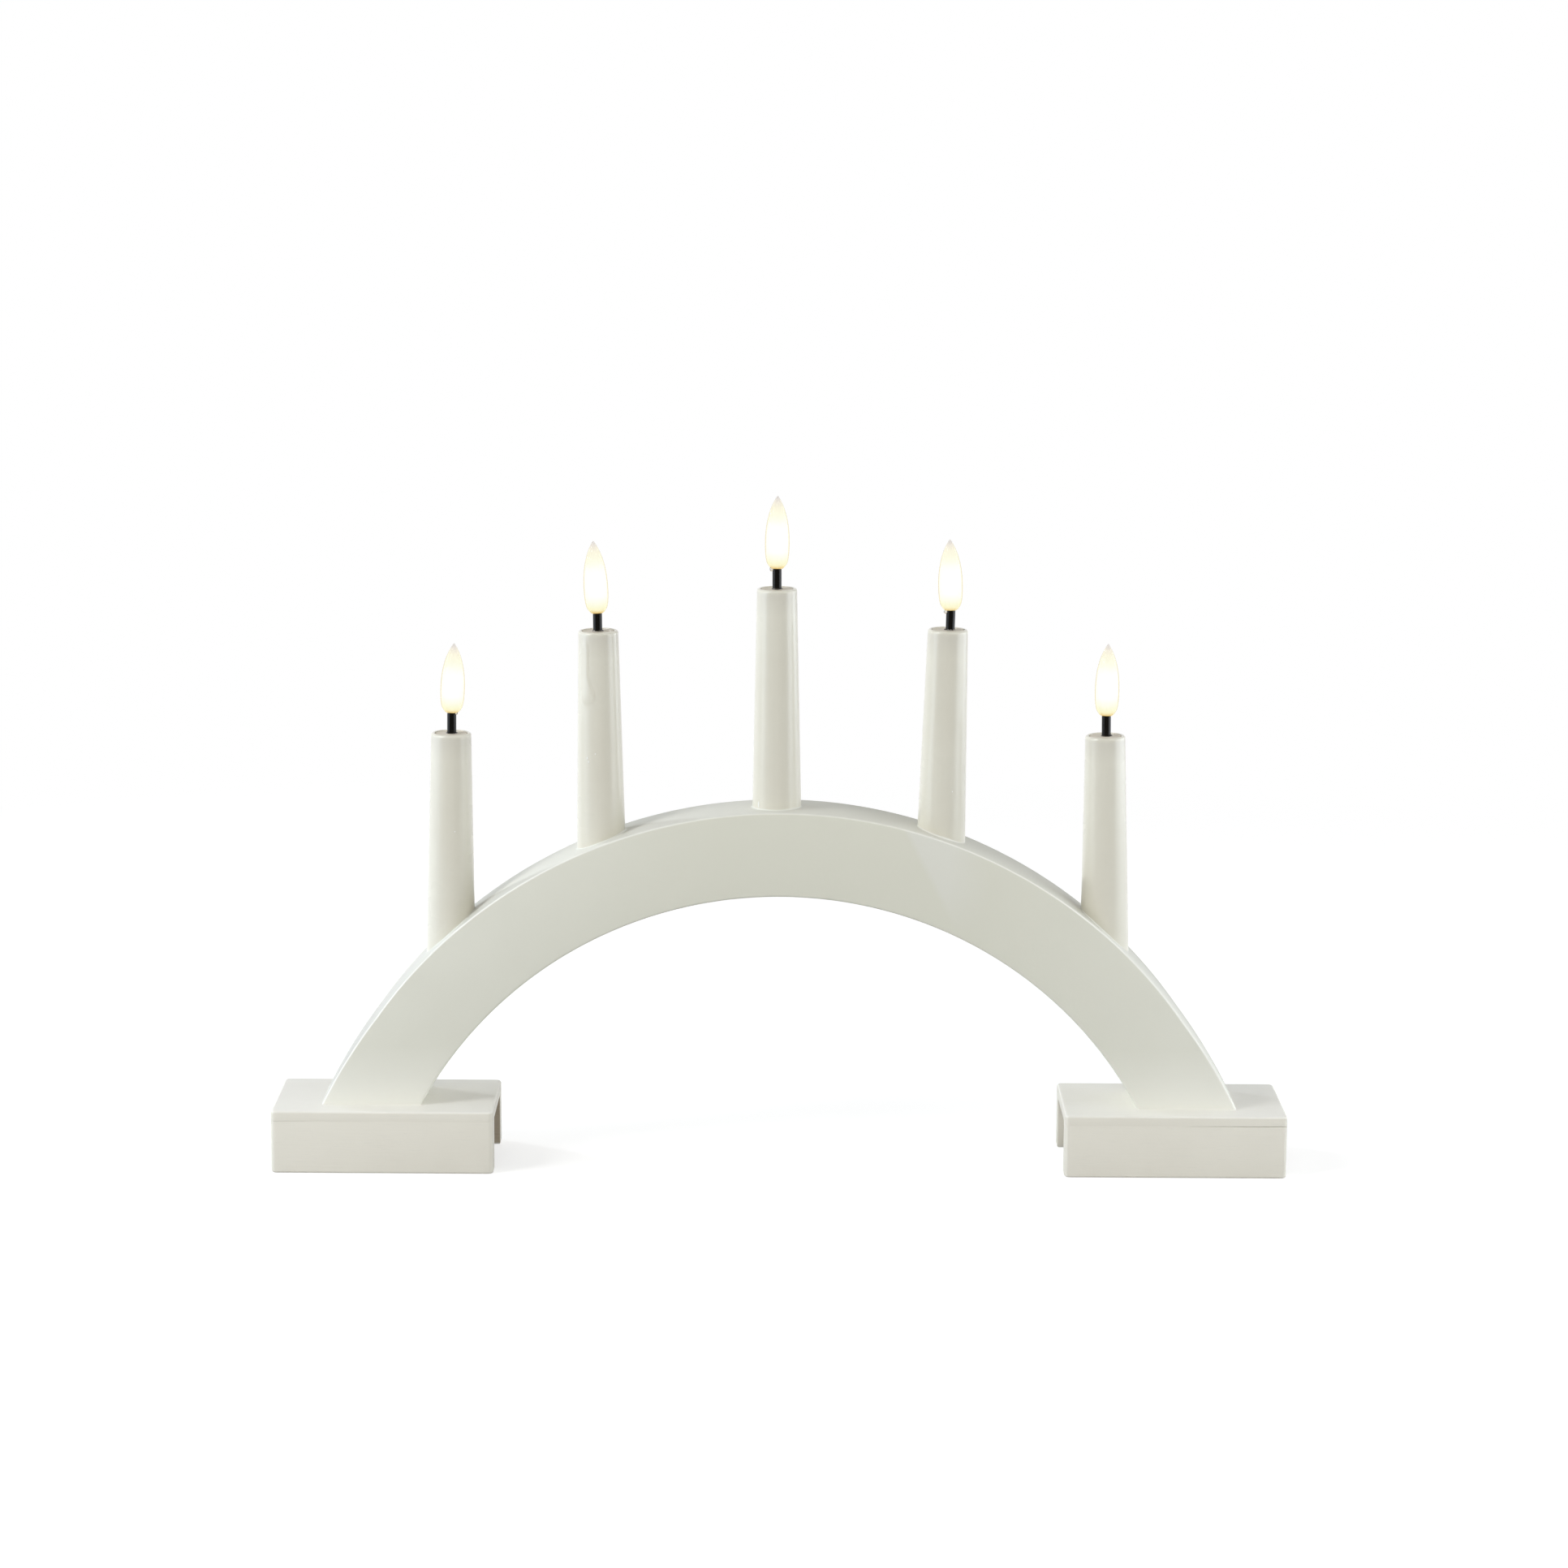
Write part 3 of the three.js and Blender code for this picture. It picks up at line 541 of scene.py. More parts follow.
def footPaint(channelHalf, channelTop, driftEnd):
    s = footLook
    material, tree, shader, place = startMaterial("footPaint", {"Specular IOR Level": 0.4})
    fibres = effect(tree, fibreGroup, place, along=55.0, across=1200.0)
    film = effect(tree, filmGroup, place, broad=22.0, peel=800.0)
    x, y, z = split(tree, place["Object"])
    paint = mixColours(tree, uneven(tree, film["Mottle"]), s["light"], s["dull"])
    # Painted light on the level tops of the boards
    level = product(tree, band(tree, z, *(footTop - depth for depth in s["topDepth"])),
                    uneven(tree, film["Mottle"], 1.0, 0.8))
    paint = mixColours(tree, level, paint, s["top"])
    facing = calc(tree, "ABSOLUTE", split(tree, addNode(tree, "NewGeometry").outputs["Normal"])[0])
    ends = product(tree, remap(tree, facing, *s["endTilt"]), uneven(tree, film["Mottle"], 0.8, 1.0))
    paint = mixColours(tree, ends, paint, s["end"])
    paint = mixColours(tree, product(tree, fibres["Pore"], 0.3), paint, s["thread"])
    paint = speckle(tree, place, paint, s["speck"], 0.5, scale=80.0, size=0.035, share=0.10)
    raw = mixColours(tree, fibres["Fibre"], s["rawShade"], s["rawWood"])
    # The inside of the channel is only misted with paint: within its half width and under the top board
    inside = calc(tree, "LESS_THAN", calc(tree, "ABSOLUTE", y), channelHalf * mm)
    under = calc(tree, "LESS_THAN", z, channelTop * mm)
    bare = product(tree, inside, under, remap(tree, film["Mottle"], 0.35, 0.65, 0.75, 1.0))
    # Paint has drifted some way into the right foot's channel from its inner end
    drift = product(tree, calc(tree, "GREATER_THAN", x, 0.0),
                    band(tree, x, driftEnd, driftEnd + s["drift"], s["driftMost"], 0.0))
    bare = product(tree, bare, calc(tree, "SUBTRACT", 1.0, drift))
    height = calc(tree, "ADD", fibres["Fibre"], product(tree, film["Peel"], 0.4))
    feed(tree, shader, baseColor=mixColours(tree, bare, paint, raw),
         roughness=uneven(tree, fibres["Fibre"], *s["rough"]), normal=bump(tree, height, *s["relief"]))
    return material


candleLook = {
    "light": (0.68, 0.66, 0.565),
    "dull": (0.65, 0.625, 0.53),
    "rim": (0.545, 0.52, 0.455),  # a shade greyer just under the rim, where the disc inside keeps light off
    "rimStart": (0.90, 0.975),  # shares of the candle's height
    "rimEnd": (0.992, 0.982),
    "rimShare": 0.4,
    "speck": (0.36, 0.31, 0.22),
    "coat": {"Specular IOR Level": 0.1, "Coat Weight": 1.0, "Coat Roughness": 0.28, "Coat IOR": 1.62},
    "rough": (0.24, 0.34),
    "relief": (0.00005, 0.15),
}


def candleGloss():
    s = candleLook
    material, tree, shader, place = startMaterial("candleGloss", s["coat"])
    film = effect(tree, filmGroup, place, broad=30.0, peel=420.0)
    colour = mixColours(tree, uneven(tree, film["Mottle"]), s["light"], s["dull"])
    height = split(tree, place["UV"])[1]
    zone = product(tree, remap(tree, height, *s["rimStart"]), remap(tree, height, *s["rimEnd"]),
                   s["rimShare"])
    colour = mixColours(tree, zone, colour, s["rim"])
    colour = speckle(tree, place, colour, s["speck"], 0.5, scale=90.0, size=0.05, share=0.05)
    feed(tree, shader, baseColor=colour, roughness=remap(tree, film["Mottle"], 0.25, 0.75, *s["rough"]),
         normal=bump(tree, film["Peel"], *s["relief"]))
    return material


cardLook = {
    "light": (0.66, 0.61, 0.52),
    "pale": (0.76, 0.71, 0.62),
    "pore": (0.36, 0.28, 0.18),
    "cut": (0.33, 0.25, 0.15),  # painted shade: browner towards the disc's outer edge, for the shadow in the gap to the wall
    "gapShadeZone": (0.73, 0.80),
    "rough": (0.5, 0.75),
    "relief": (0.0001, 0.4),
}


def capCard():
    s = cardLook
    material, tree, shader, place = startMaterial("capCard", {"Specular IOR Level": 0.3})
    fibres = effect(tree, fibreGroup, place, along=350.0, across=1500.0)
    colour = mixColours(tree, uneven(tree, fibres["Fibre"]), s["light"], s["pale"])
    colour = mixColours(tree, product(tree, fibres["Pore"], 0.5), colour, s["pore"])
    # Painted shade at the disc's outer edge
    colour = mixColours(tree, remap(tree, split(tree, place["UV"])[1], *s["gapShadeZone"]), colour, s["cut"])
    feed(tree, shader, baseColor=colour, roughness=uneven(tree, fibres["Fibre"], *s["rough"]),
         normal=bump(tree, fibres["Fibre"], *s["relief"]))
    return material


sleeveLook = {
    "dark": (0.003, 0.0027, 0.002),
    "light": (0.007, 0.006, 0.0045),
    "rough": (0.1, 0.17),
    "relief": (0.00012, 0.2),
}


def wickSleeve():
    s = sleeveLook
    material, tree, shader, place = startMaterial("wickSleeve", {"Specular IOR Level": 0.17})
    skin = effect(tree, mouldGroup, place, grain=500.0)
    feed(tree, shader, baseColor=mixColours(tree, skin["Tone"], s["dark"], s["light"]),
         roughness=remap(tree, skin["Tone"], 0.35, 0.65, *s["rough"]),
         normal=bump(tree, skin["Grain"], *s["relief"]))
    return material


def clearGlue(name, tint):
    material, tree, shader, place = startMaterial(
        name, {"Transmission Weight": 0.85, "IOR": 1.45, "Specular IOR Level": 0.5})
    tone = effect(tree, mouldGroup, place, grain=900.0)["Tone"]
    feed(tree, shader, baseColor=mixColours(tree, tone, tint, tuple(0.85 * part for part in tint)),
         roughness=uneven(tree, tone, 0.06, 0.2))
    return material


flameLook = {
    "glow": [  # along the flame as seen through its skin, from its base at 0 to its tip at 1
        (0.00, (0.80, 0.54, 0.16)),
        (0.05, (0.947, 0.896, 0.584)),
        (0.10, (0.947, 0.939, 0.694)),
        (0.145, (0.965, 0.956, 0.80)),
        (0.19, (0.973, 0.973, 0.88)),
        (0.24, (1.0, 1.0, 0.97)),
        (0.34, (1.0, 1.0, 1.0)),
        (0.54, (1.0, 1.0, 0.99)),
        (0.62, (0.982, 0.982, 0.92)),
        (0.68, (0.956, 0.96, 0.82)),
        (0.76, (0.947, 0.93, 0.73)),
        (0.85, (0.935, 0.89, 0.687)),
        (0.90, (0.88, 0.82, 0.66)),
        (0.94, (0.81, 0.75, 0.635)),
        (0.98, (0.70, 0.65, 0.59)),
    ],
    "wander": 0.015,  # how far the tones wander up and down
    "strength": 1.06,
    "skinPass": (0.986, 0.966, 0.886),  # what the skin lets through where it is seen square on
    "skinClear": (1.0, 1.0, 1.0),
    "skinDull": (0.985, 0.985, 0.975),
    "skinStain": {"Color": (0.9, 0.76, 0.15, 1), "Density": 420.0},
    "led": (1.0, 0.93, 0.75),
    "ledPale": (1.0, 0.97, 0.86),
}


def flameGlow():
    s = flameLook
    material, tree, shader, place = startMaterial("flameGlow", {
        "Base Color": (0.03, 0.028, 0.025, 1), "Emission Strength": s["strength"], "Specular IOR Level": 0.1})
    tone = effect(tree, mouldGroup, place, grain=700.0)["Tone"]
    height = calc(tree, "ADD", split(tree, place["UV"])[1], uneven(tree, tone, -s["wander"], s["wander"]))
    stops = [(stop, tuple(part / passed / s["strength"] for part, passed in zip(colour, s["skinPass"])))
             for stop, colour in s["glow"]]
    feed(tree, shader, emission=ramp(tree, height, stops), roughness=uneven(tree, tone, 0.45, 0.6))
    return material


# Clear yellowish skin: the long way through it at the outline takes out blue, so the flame has a golden edge
def flameSkin():
    s = flameLook
    material, tree, shader, place = startMaterial(
        "flameSkin", {"Transmission Weight": 1.0, "IOR": 1.08, "Specular IOR Level": 0.5, "Roughness": 0.0})
    tone = effect(tree, mouldGroup, place, grain=900.0)["Tone"]
    feed(tree, shader, baseColor=mixColours(tree, tone, s["skinClear"], s["skinDull"]))
    stain = addNode(tree, "VolumeAbsorption", s["skinStain"])
    tree.links.new(stain.outputs[0], tree.nodes["Material Output"].inputs["Volume"])
    return material


def ledResin():
    material, tree, shader, place = startMaterial(
        "ledResin", {"Transmission Weight": 0.5, "IOR": 1.5, "Emission Strength": 1.0})
    tone = effect(tree, mouldGroup, place, grain=900.0)["Tone"]
    glow = mixColours(tree, tone, flameLook["led"], flameLook["ledPale"])
    feed(tree, shader, baseColor=glow, emission=glow, roughness=uneven(tree, tone, 0.15, 0.3))
    return material


def moulded(name, light, dull, rough, grain=2500.0, depth=0.00006):
    material, tree, shader, place = startMaterial(name, {"Specular IOR Level": 0.5})
    skin = effect(tree, mouldGroup, place, grain=grain)
    colour = mixColours(tree, uneven(tree, skin["Tone"]), light, dull)
    colour = speckle(tree, place, colour, (0.20, 0.18, 0.15), 0.35, scale=250.0, size=0.06, share=0.08)
    feed(tree, shader, baseColor=colour, roughness=uneven(tree, skin["Tone"], rough - 0.07, rough + 0.07),
         normal=bump(tree, skin["Grain"], depth, 0.5))
    return material


def plated(name, light, dull, rough):
    material, tree, shader, place = startMaterial(name, {"Metallic": 1.0})
    fibres = effect(tree, fibreGroup, place, along=200.0, across=2500.0)
    skin = effect(tree, mouldGroup, place, grain=3000.0)
    feed(tree, shader, baseColor=mixColours(tree, uneven(tree, skin["Tone"]), light, dull),
         roughness=uneven(tree, fibres["Fibre"], rough - 0.08, rough + 0.1),
         normal=bump(tree, fibres["Fibre"], 0.00003, 0.4))
    return material


cellLook = {
    "dark": (0.045, 0.075, 0.055),
    "pale": (0.60, 0.60, 0.56),
    "steel": (0.62, 0.62, 0.61),
    "dulled": (0.20, 0.21, 0.20),
    "ends": (0.02, 0.951),  # the wrap lies between these shares of the length
    "bands": [(0.0, "steel"), (0.02, "steel"), (0.021, "dark"), (0.60, "dark"), (0.603, "pale"),
              (0.63, "pale"), (0.633, "dark"), (0.66, "dark"), (0.663, "pale"), (0.95, "pale"),
              (0.951, "steel")],
    "coat": 0.4,
    "rough": (0.25, 0.42),
}


def cellWrap():
    s = cellLook
    material, tree, shader, place = startMaterial(
        "cellWrap", {"Specular IOR Level": 0.5, "Coat Roughness": 0.12})
    height = split(tree, place["UV"])[1]
    tone = effect(tree, mouldGroup, place, grain=900.0)["Tone"]
    wrap = ramp(tree, height, [(stop, s[tint]) for stop, tint in s["bands"]])
    bare = calc(tree, "MAXIMUM", calc(tree, "LESS_THAN", height, s["ends"][0]),
                calc(tree, "GREATER_THAN", height, s["ends"][1]))
    feed(tree, shader, baseColor=mixColours(tree, remap(tree, tone, 0.35, 0.8, 0.0, 0.25), wrap, s["dulled"]),
         metallic=bare, coat=calc(tree, "SUBTRACT", s["coat"], product(tree, bare, s["coat"])),
         roughness=uneven(tree, tone, *s["rough"]))
    return material


boardLook = {"dark": (0.016, 0.10, 0.045), "light": (0.022, 0.13, 0.06), "track": (0.05, 0.22, 0.10)}


def boardMask():
    s = boardLook
    material, tree, shader, place = startMaterial("boardMask", {"Specular IOR Level": 0.5})
    tone = effect(tree, mouldGroup, place, grain=2600.0)["Tone"]
    # Copper tracks show as paler lines: a brick pattern of thin joints, read across the board's Y and Z
    y, z = split(tree, place["Object"])[1:]
    flatPlace = addNode(tree, "CombineXYZ", {0: y, 1: z}).outputs[0]
    bricks = addNode(tree, "TexBrick", {"Vector": flatPlace, "Scale": 220.0, "Mortar Size": 0.045})
    tracks = bricks.outputs["Fac"]
    green = mixColours(tree, tone, s["dark"], s["light"])
    feed(tree, shader, baseColor=mixColours(tree, tracks, green, s["track"]),
         roughness=uneven(tree, tone, 0.28, 0.4), normal=bump(tree, tracks, 0.00004, 0.5))
    return material


foamLook = {
    # painted shade: darker in the foam's pores
    "hollow": (0.58, 0.57, 0.53),
    "wall": (0.70, 0.69, 0.65),
    "rough": (0.8, 0.95),
    "relief": (0.0001, 0.6),
}


def foamPad():
    s = foamLook
    material, tree, shader, place = startMaterial("foamPad", {"Specular IOR Level": 0.2})
    cells = addNode(tree, "TexVoronoi", {"Vector": place["Object"], "Scale": 1600.0}).outputs["Distance"]
    film = effect(tree, filmGroup, place, broad=60.0, peel=900.0)
    # Painted shade: the pores darker than the cell walls
    feed(tree, shader, baseColor=mixColours(tree, remap(tree, cells, 0.1, 0.6), s["hollow"], s["wall"]),
         roughness=uneven(tree, film["Mottle"], *s["rough"]), normal=bump(tree, cells, *s["relief"]))
    return material


# Plain finishes: light and dull tone, roughness, and for some their own grain and its depth
plainLooks = {
    # Painted highlight: the nibs' finish is a lighter white than the candle's, for the glints they catch
    "paintNibs": (moulded, (0.90, 0.90, 0.87), (0.84, 0.84, 0.80), 0.22, 600.0, 0.00002),
    "wireJacket": (moulded, (0.74, 0.73, 0.68), (0.66, 0.65, 0.60), 0.45),
    "casePlastic": (moulded, (0.76, 0.75, 0.71), (0.70, 0.69, 0.65), 0.48),
    "switchPlastic": (moulded, (0.016, 0.016, 0.018), (0.026, 0.026, 0.028), 0.45),
    "chipResin": (moulded, (0.012, 0.012, 0.012), (0.022, 0.021, 0.02), 0.5),
    "zincScrew": (plated, (0.62, 0.62, 0.60), (0.50, 0.50, 0.50), 0.35),
    "contactSteel": (plated, (0.72, 0.72, 0.72), (0.60, 0.61, 0.62), 0.28),
    "wickGlue": (clearGlue, (0.30, 0.26, 0.20)),
    "clearDrops": (clearGlue, (0.95, 0.93, 0.88)),
    "clearResin": (clearGlue, (0.86, 0.82, 0.75)),
}
plain = {name: make(name, *look) for name, (make, *look) in plainLooks.items()}
seam = 0.03  # the raw wood begins a hair outside the channel
archFinish = archPaint()
footFinish = footPaint(nodeBox("left_foot_back")[0][1] + seam, nodeBox("left_foot_top")[0][2] + seam,
                       nodeBox("right_foot_top")[0][0])
candleFinish = candleGloss()
cardFinish = capCard()
sleeveFinish = wickSleeve()
glowFinish = flameGlow()
skinFinish = flameSkin()
ledFinish = ledResin()
cellFinish = cellWrap()
boardFinish = boardMask()
foamFinish = foamPad()
print("finishes ready")


# Arch

archShape = {
    "width": 33.5,  # from the outer to the inner curve
    "edge": 0.9,  # rounding along the four long edges
    "leastEdge": 0.05,
    "footEdge": 0.35,  # rounding of the sawn ends on the feet
    "footSteps": 3,
    "footSupport": 0.5,  # flat ring inside that rounding
    "spread": 2.0,  # how much wider the legs grow outwards towards their ends
    "spreadStart": 0.82,  # share of the way from the crown to the end where that begins
    "spreadCurve": 1.2,
    "stations": 240,
    "edgeSteps": 5,
    "socketClearance": 0.3,  # round the candle and under it
    "socketSides": 96,
    "grooveDepth": 5.0,
    "grooveWidth": 3.4,
    "grooveSpare": 0.002,  # radians by which it goes on past the cover's end
    "leadHole": 1.8,
    "toolOverlap": 1.0,  # how far the tools that cut it run into each other
}
innerRadius = outerRadius - archShape["width"]
legDrop = footTop - archCentre[2]
tubeAxis = [nodeAxis(f"candle_{k + 1}_tube") for k in range(candleCount)]
wickAxis = [nodeAxis(f"candle_{k + 1}_wick") for k in range(candleCount)]
flameAxis = [nodeAxis(f"candle_{k + 1}_flame") for k in range(candleCount)]


# Section in (radius, y): a rounded rectangle with corner arcs, drawn in by inset
def archSection(inset):
    edge = max(archShape["edge"] - inset, archShape["leastEdge"])
    low, high = innerRadius + inset + edge, outerRadius - inset - edge
    front, back = archLow[1] + inset + edge, archHigh[1] - inset - edge
    steps = archShape["edgeSteps"]
    return np.concatenate([arc((high, front), edge, -90, 0, steps), arc((high, back), edge, 0, 90, steps),
                           arc((low, back), edge, 90, 180, steps), arc((low, front), edge, 180, 270, steps)])


# Carried along the arc: station share s of each point's own end angle acos(drop / r), so both ends lie level;
# towards the ends each radius grows by the spread times its share of the width
def archGrid():
    s = archShape
    edge = s["footEdge"]
    f = np.radians(np.linspace(0, 90, s["footSteps"] + 1))
    ends = [(1.0, edge + s["footSupport"], 0.0)]
    ends += [(1.0, edge * (1 - math.sin(a)), edge * (1 - math.cos(a))) for a in f]
    shares = np.linspace(-1, 1, s["stations"] + 1)[1:-1]
    stations = [(-share, inset, lift) for share, inset, lift in ends]
    stations += [(share, 0.0, edge) for share in shares] + ends[::-1]
    share, inset, lift = np.array(stations).T
    section = np.stack([archSection(value) for value in inset])
    late = np.clip((np.abs(share) - s["spreadStart"]) / (1 - s["spreadStart"]), 0, 1) ** s["spreadCurve"]
    section[..., 0] += s["spread"] * late[:, None] * (section[..., 0] - innerRadius) / s["width"]
    endAngle = np.arccos((legDrop + lift[:, None]) / section[..., 0])
    angle = share[:, None] * endAngle
    x = section[..., 0] * np.sin(angle)
    z = archCentre[2] + section[..., 0] * np.cos(angle)
    return np.stack([x, section[..., 1], z], axis=-1)


# Along a line that runs with the candle, the height at which it crosses a circle about the arch's centre:
# t = -d.u + sqrt((d.u)^2 - d.d + R^2), with d from that centre to the line's start
def heightOnArch(axis, acrossShift, radius):
    start = axis["base"] + np.asarray(acrossShift)[..., None] * axis["across"] - archCentre
    flat = start[..., [0, 2]]
    up = axis["up"][[0, 2]]
    dot = flat @ up
    return -dot + np.sqrt(dot**2 - (flat**2).sum(-1) + radius**2)


def barTool(axis, radius, low, high, sides):
    return surfacePiece("tool", turned([(radius, low), (radius, high)], axis, sides), capped=True)


# Ring-shaped tool for the wire groove: a box section carried from one angle to the other
def grooveTool(radiusLow, radiusHigh, halfWidth, start, end, steps=200):
    angle = np.linspace(start, end, steps + 1)[:, None]
    radius = np.array([radiusLow, radiusHigh, radiusHigh, radiusLow])
    y = np.array([-halfWidth, -halfWidth, halfWidth, halfWidth])
    x = radius * np.sin(angle)
    z = archCentre[2] + radius * np.cos(angle)
    return surfacePiece("tool", np.stack([x, np.broadcast_to(y, x.shape), z], axis=-1), capped=True)


# The candle's tube, given here because the sockets follow it
tubeShape = {
    "baseDiameter": 19.2,
    "topDiameter": 15.8,
    "straight": 18.0,
    "wall": 1.5,
    "rim": 1.0,  # rounding of the rim outside
    "rimInside": 0.45,
    "rimDepth": 6.0,  # how far down the wall is straight inside
    "foot": 0.4,
    "rows": 90,
    "sides": 160,
}

arch = surfacePiece("arch_body", archGrid(), capped=True)
clearance, overlap = archShape["socketClearance"], archShape["toolOverlap"]
sockets = [barTool(axis, tubeShape["baseDiameter"] / 2 + clearance, -clearance, axis["length"],
                   archShape["socketSides"]) for axis in tubeAxis]
stripAngle = math.asin(nodeBox("groove_cover")[0][0] / innerRadius)
grooveTop = innerRadius + archShape["grooveDepth"]
groove = grooveTool(innerRadius - 2 * overlap, grooveTop, archShape["grooveWidth"] / 2,
                    stripAngle - archShape["grooveSpare"], math.acos(legDrop / outerRadius))
leadHoles = []
for axis, wick in zip(tubeAxis, wickAxis):
    shift = (wick["base"] - axis["base"]) @ axis["across"]
    low = heightOnArch(axis, shift, grooveTop - overlap)
    leadHoles.append(barTool(movedAxis(axis, 0, shift), archShape["leadHole"], low, overlap / 2, sides=24))
cutPiece(arch, sockets + [groove] + leadHoles, smoothAngle=30)
dress(arch, archFinish, ["arch"])
print("arch:", len(arch.data.polygons), "faces")

roundedCopy("groove_cover", "groove_cover_strip", 0.25, archFinish)


# Feet

footShape = {
    "topEdge": 0.85,
    "seamEdge": 0.06,
    "groundEdge": 0.9,
    "outerCorner": 2.0,
    "channelCorner": 0.35,
    "splits": 28,  # points along each side of the top boards
    "crack": {"right": (160.0, 0.2), "left": (-168.0, 0.06)},  # where the glue line begins to gape, how high
    "crackCurve": 0.7,
    "crackRows": 7,  # rows of the board round its lower edge
    "legBead": 0.18,  # paint in the corner between leg and foot
    "beadSunk": 0.3,
    "beadSteps": 6,
    "beadCorner": 0.2,  # least radius of its corners
    "screwHead": 4.15,
    "screwShank": 2.15,
    "screwHeadDepth": 2.0,
    "screwSpare": (0.5, 6.0),  # how far the hole's tool goes on past the board and past the head
}


# Gaping glue line: the board's lower edge rows rise by the crack's height times a power of the share of the
# way from its start to the foot's end
def openCrack(grid, side, low, high):
    start, height = footShape["crack"][side]
    end = high[0] if side == "right" else low[0]
    rows = slice(1, footShape["crackRows"])
    share = np.clip((grid[rows, :, 0] - start) / (end - start), 0, 1)
    grid[rows, :, 2] += height * share ** footShape["crackCurve"]
    return grid


# Paint bead round a leg: rings about the leg's section at each height, standing out by w (1 - cos f) at
# w (1 - sin f), and closed inside the leg and the foot
def legBeadGrid(sign):
    width, sunk = footShape["legBead"], footShape["beadSunk"]
    f = np.radians(np.linspace(0, 90, footShape["beadSteps"] + 1))
    out = np.concatenate([width * (1 - np.cos(f)), [width, -sunk, -sunk]])
    lift = np.concatenate([width * (1 - np.sin(f)), [-sunk, -sunk, width]])
    legRadii = (innerRadius, outerRadius + archShape["spread"])
    reach = [np.sqrt(radius**2 - (legDrop + lift) ** 2) for radius in legRadii]
    low, high = (reach[0], reach[1]) if sign > 0 else (-reach[1], -reach[0])
    front, back = np.full_like(out, archLow[1]), np.full_like(out, archHigh[1])
    radius = np.maximum(archShape["edge"] + out, footShape["beadCorner"])
    radius = np.broadcast_to(radius[:, None], (len(out), 4))
    return ringStack(np.stack([low - out, front - out], axis=1), np.stack([high + out, back + out], axis=1),
                     footTop + lift, radius, steps=4, splits=6)


def screwTool(x, y, z):
    base = {"base": np.array([x, y, z]), **dict(zip(("across", "side", "up"), np.eye(3)))}
    head, shank, depth = footShape["screwHead"], footShape["screwShank"], footShape["screwHeadDepth"]
    slope = (head - shank) / depth
    under, over = footShape["screwSpare"]
    profile = [(head + under * slope, -under), (shank, depth), (shank, depth + over)]
    return surfacePiece("tool", turned(profile, base, sides=48), capped=True)


for side, sign in (("left", -1), ("right", 1)):
    low, high = nodeBox(f"{side}_foot_top")
    corner = footShape["outerCorner"]
    grid = roundedBlock(low, high, [corner] * 4, footShape["seamEdge"], footShape["topEdge"], support=0.5,
                        splits=footShape["splits"])
    board = surfacePiece(f"{side}_foot_board", openCrack(grid, side, low, high), capped=True)
    tools = []
    for place in ("front", "back"):
        screwLow, screwHigh = nodeBox(f"arch_screw_{side}_{place}")
        middle = (screwLow + screwHigh) / 2
        tools.append(screwTool(middle[0], middle[1], low[2]))
    cutPiece(board, tools)
    dress(board, footFinish, [f"{side}_foot_top"])
    for place in ("front", "back"):
        low, high = nodeBox(f"{side}_foot_{place}")
        outside, inside = footShape["outerCorner"], footShape["channelCorner"]
        corners = [outside, outside, inside, inside] if place == "front" else [inside] * 2 + [outside] * 2
        grid = roundedBlock(low, high, corners, footShape["groundEdge"], footShape["seamEdge"])
        addPiece(f"{side}_foot_runner_{place}", grid, footFinish, "white_paint", [f"{side}_foot_{place}"],
                 capped=True)
    addPiece(f"{side}_leg_bead", legBeadGrid(sign), footFinish, "white_paint", closeRows=True)
print("feet done")


# Candles

beadShape = {
    "width": 0.6,
    "wander": (0.22, 0.12),  # slow and quick, as shares of the width
    "phase": (0.4, 1.3),  # of the first candle, and how much more for each next one
    "inward": 0.3,
    "sunk": 0.5,
    "sides": 128,
    "steps": 8,
}
capShape = {
    "sink": 0.2,  # below the rim
    "thickness": 3.0,
    "edge": 0.25,
    "dish": 0.18,
    "gap": 0.08,  # to the wall
    "holeGap": 0.12,  # to the wick
    "holeEdge": (0.04, 0.1),  # share of the way out, and depth
    "rows": 12,
    "sides": 72,
}
wickShape = {"radius": 1.8, "bore": 1.2, "edge": 0.3, "sides": 40}
glueShape = {
    "width": 0.45,
    "height": 0.35,
    "wander": (0.35, 0.25),
    "phase": 1.7,  # how much more for each next candle
    "inward": 0.2,
    "sunk": 0.4,
    "sides": 64,
    "steps": 6,
}
# Drops of clear glue on the discs: candle, place across and back from its axis, radius, height
glueDrops = [(2, 4.7, 0.8, 0.5, 0.3), (2, -1.3, -1.6, 0.4, 0.55), (4, 5.5, 0.8, 0.5, 0.3),
             (4, -0.9, -1.9, 0.4, 0.5), (4, 0.2, -2.0, 0.35, 0.45), (4, 1.2, -1.8, 0.4, 0.5)]


def tubeProfile(length):
    base, top = tubeShape["baseDiameter"] / 2, tubeShape["topDiameter"] / 2
    wall, rim, foot, lip = (tubeShape[key] for key in ("wall", "rim", "foot", "rimInside"))
    taper = np.linspace(0, 1, tubeShape["rows"] + 1)
    flank = np.stack([base + (top - base) * taper,
                      tubeShape["straight"] + (length - rim - tubeShape["straight"]) * taper], axis=1)
    return np.concatenate([
        [(base - wall, 0), (base - foot, 0)], arc((base - foot, foot), foot, -60, 0, 2), flank,
        arc((top - rim, length - rim), rim, 10, 90, 7),
        arc((top - wall + lip, length - lip), lip, 90, 180, 5),
        [(top - wall, length - tubeShape["rimDepth"]), (base - wall, tubeShape["straight"])]])


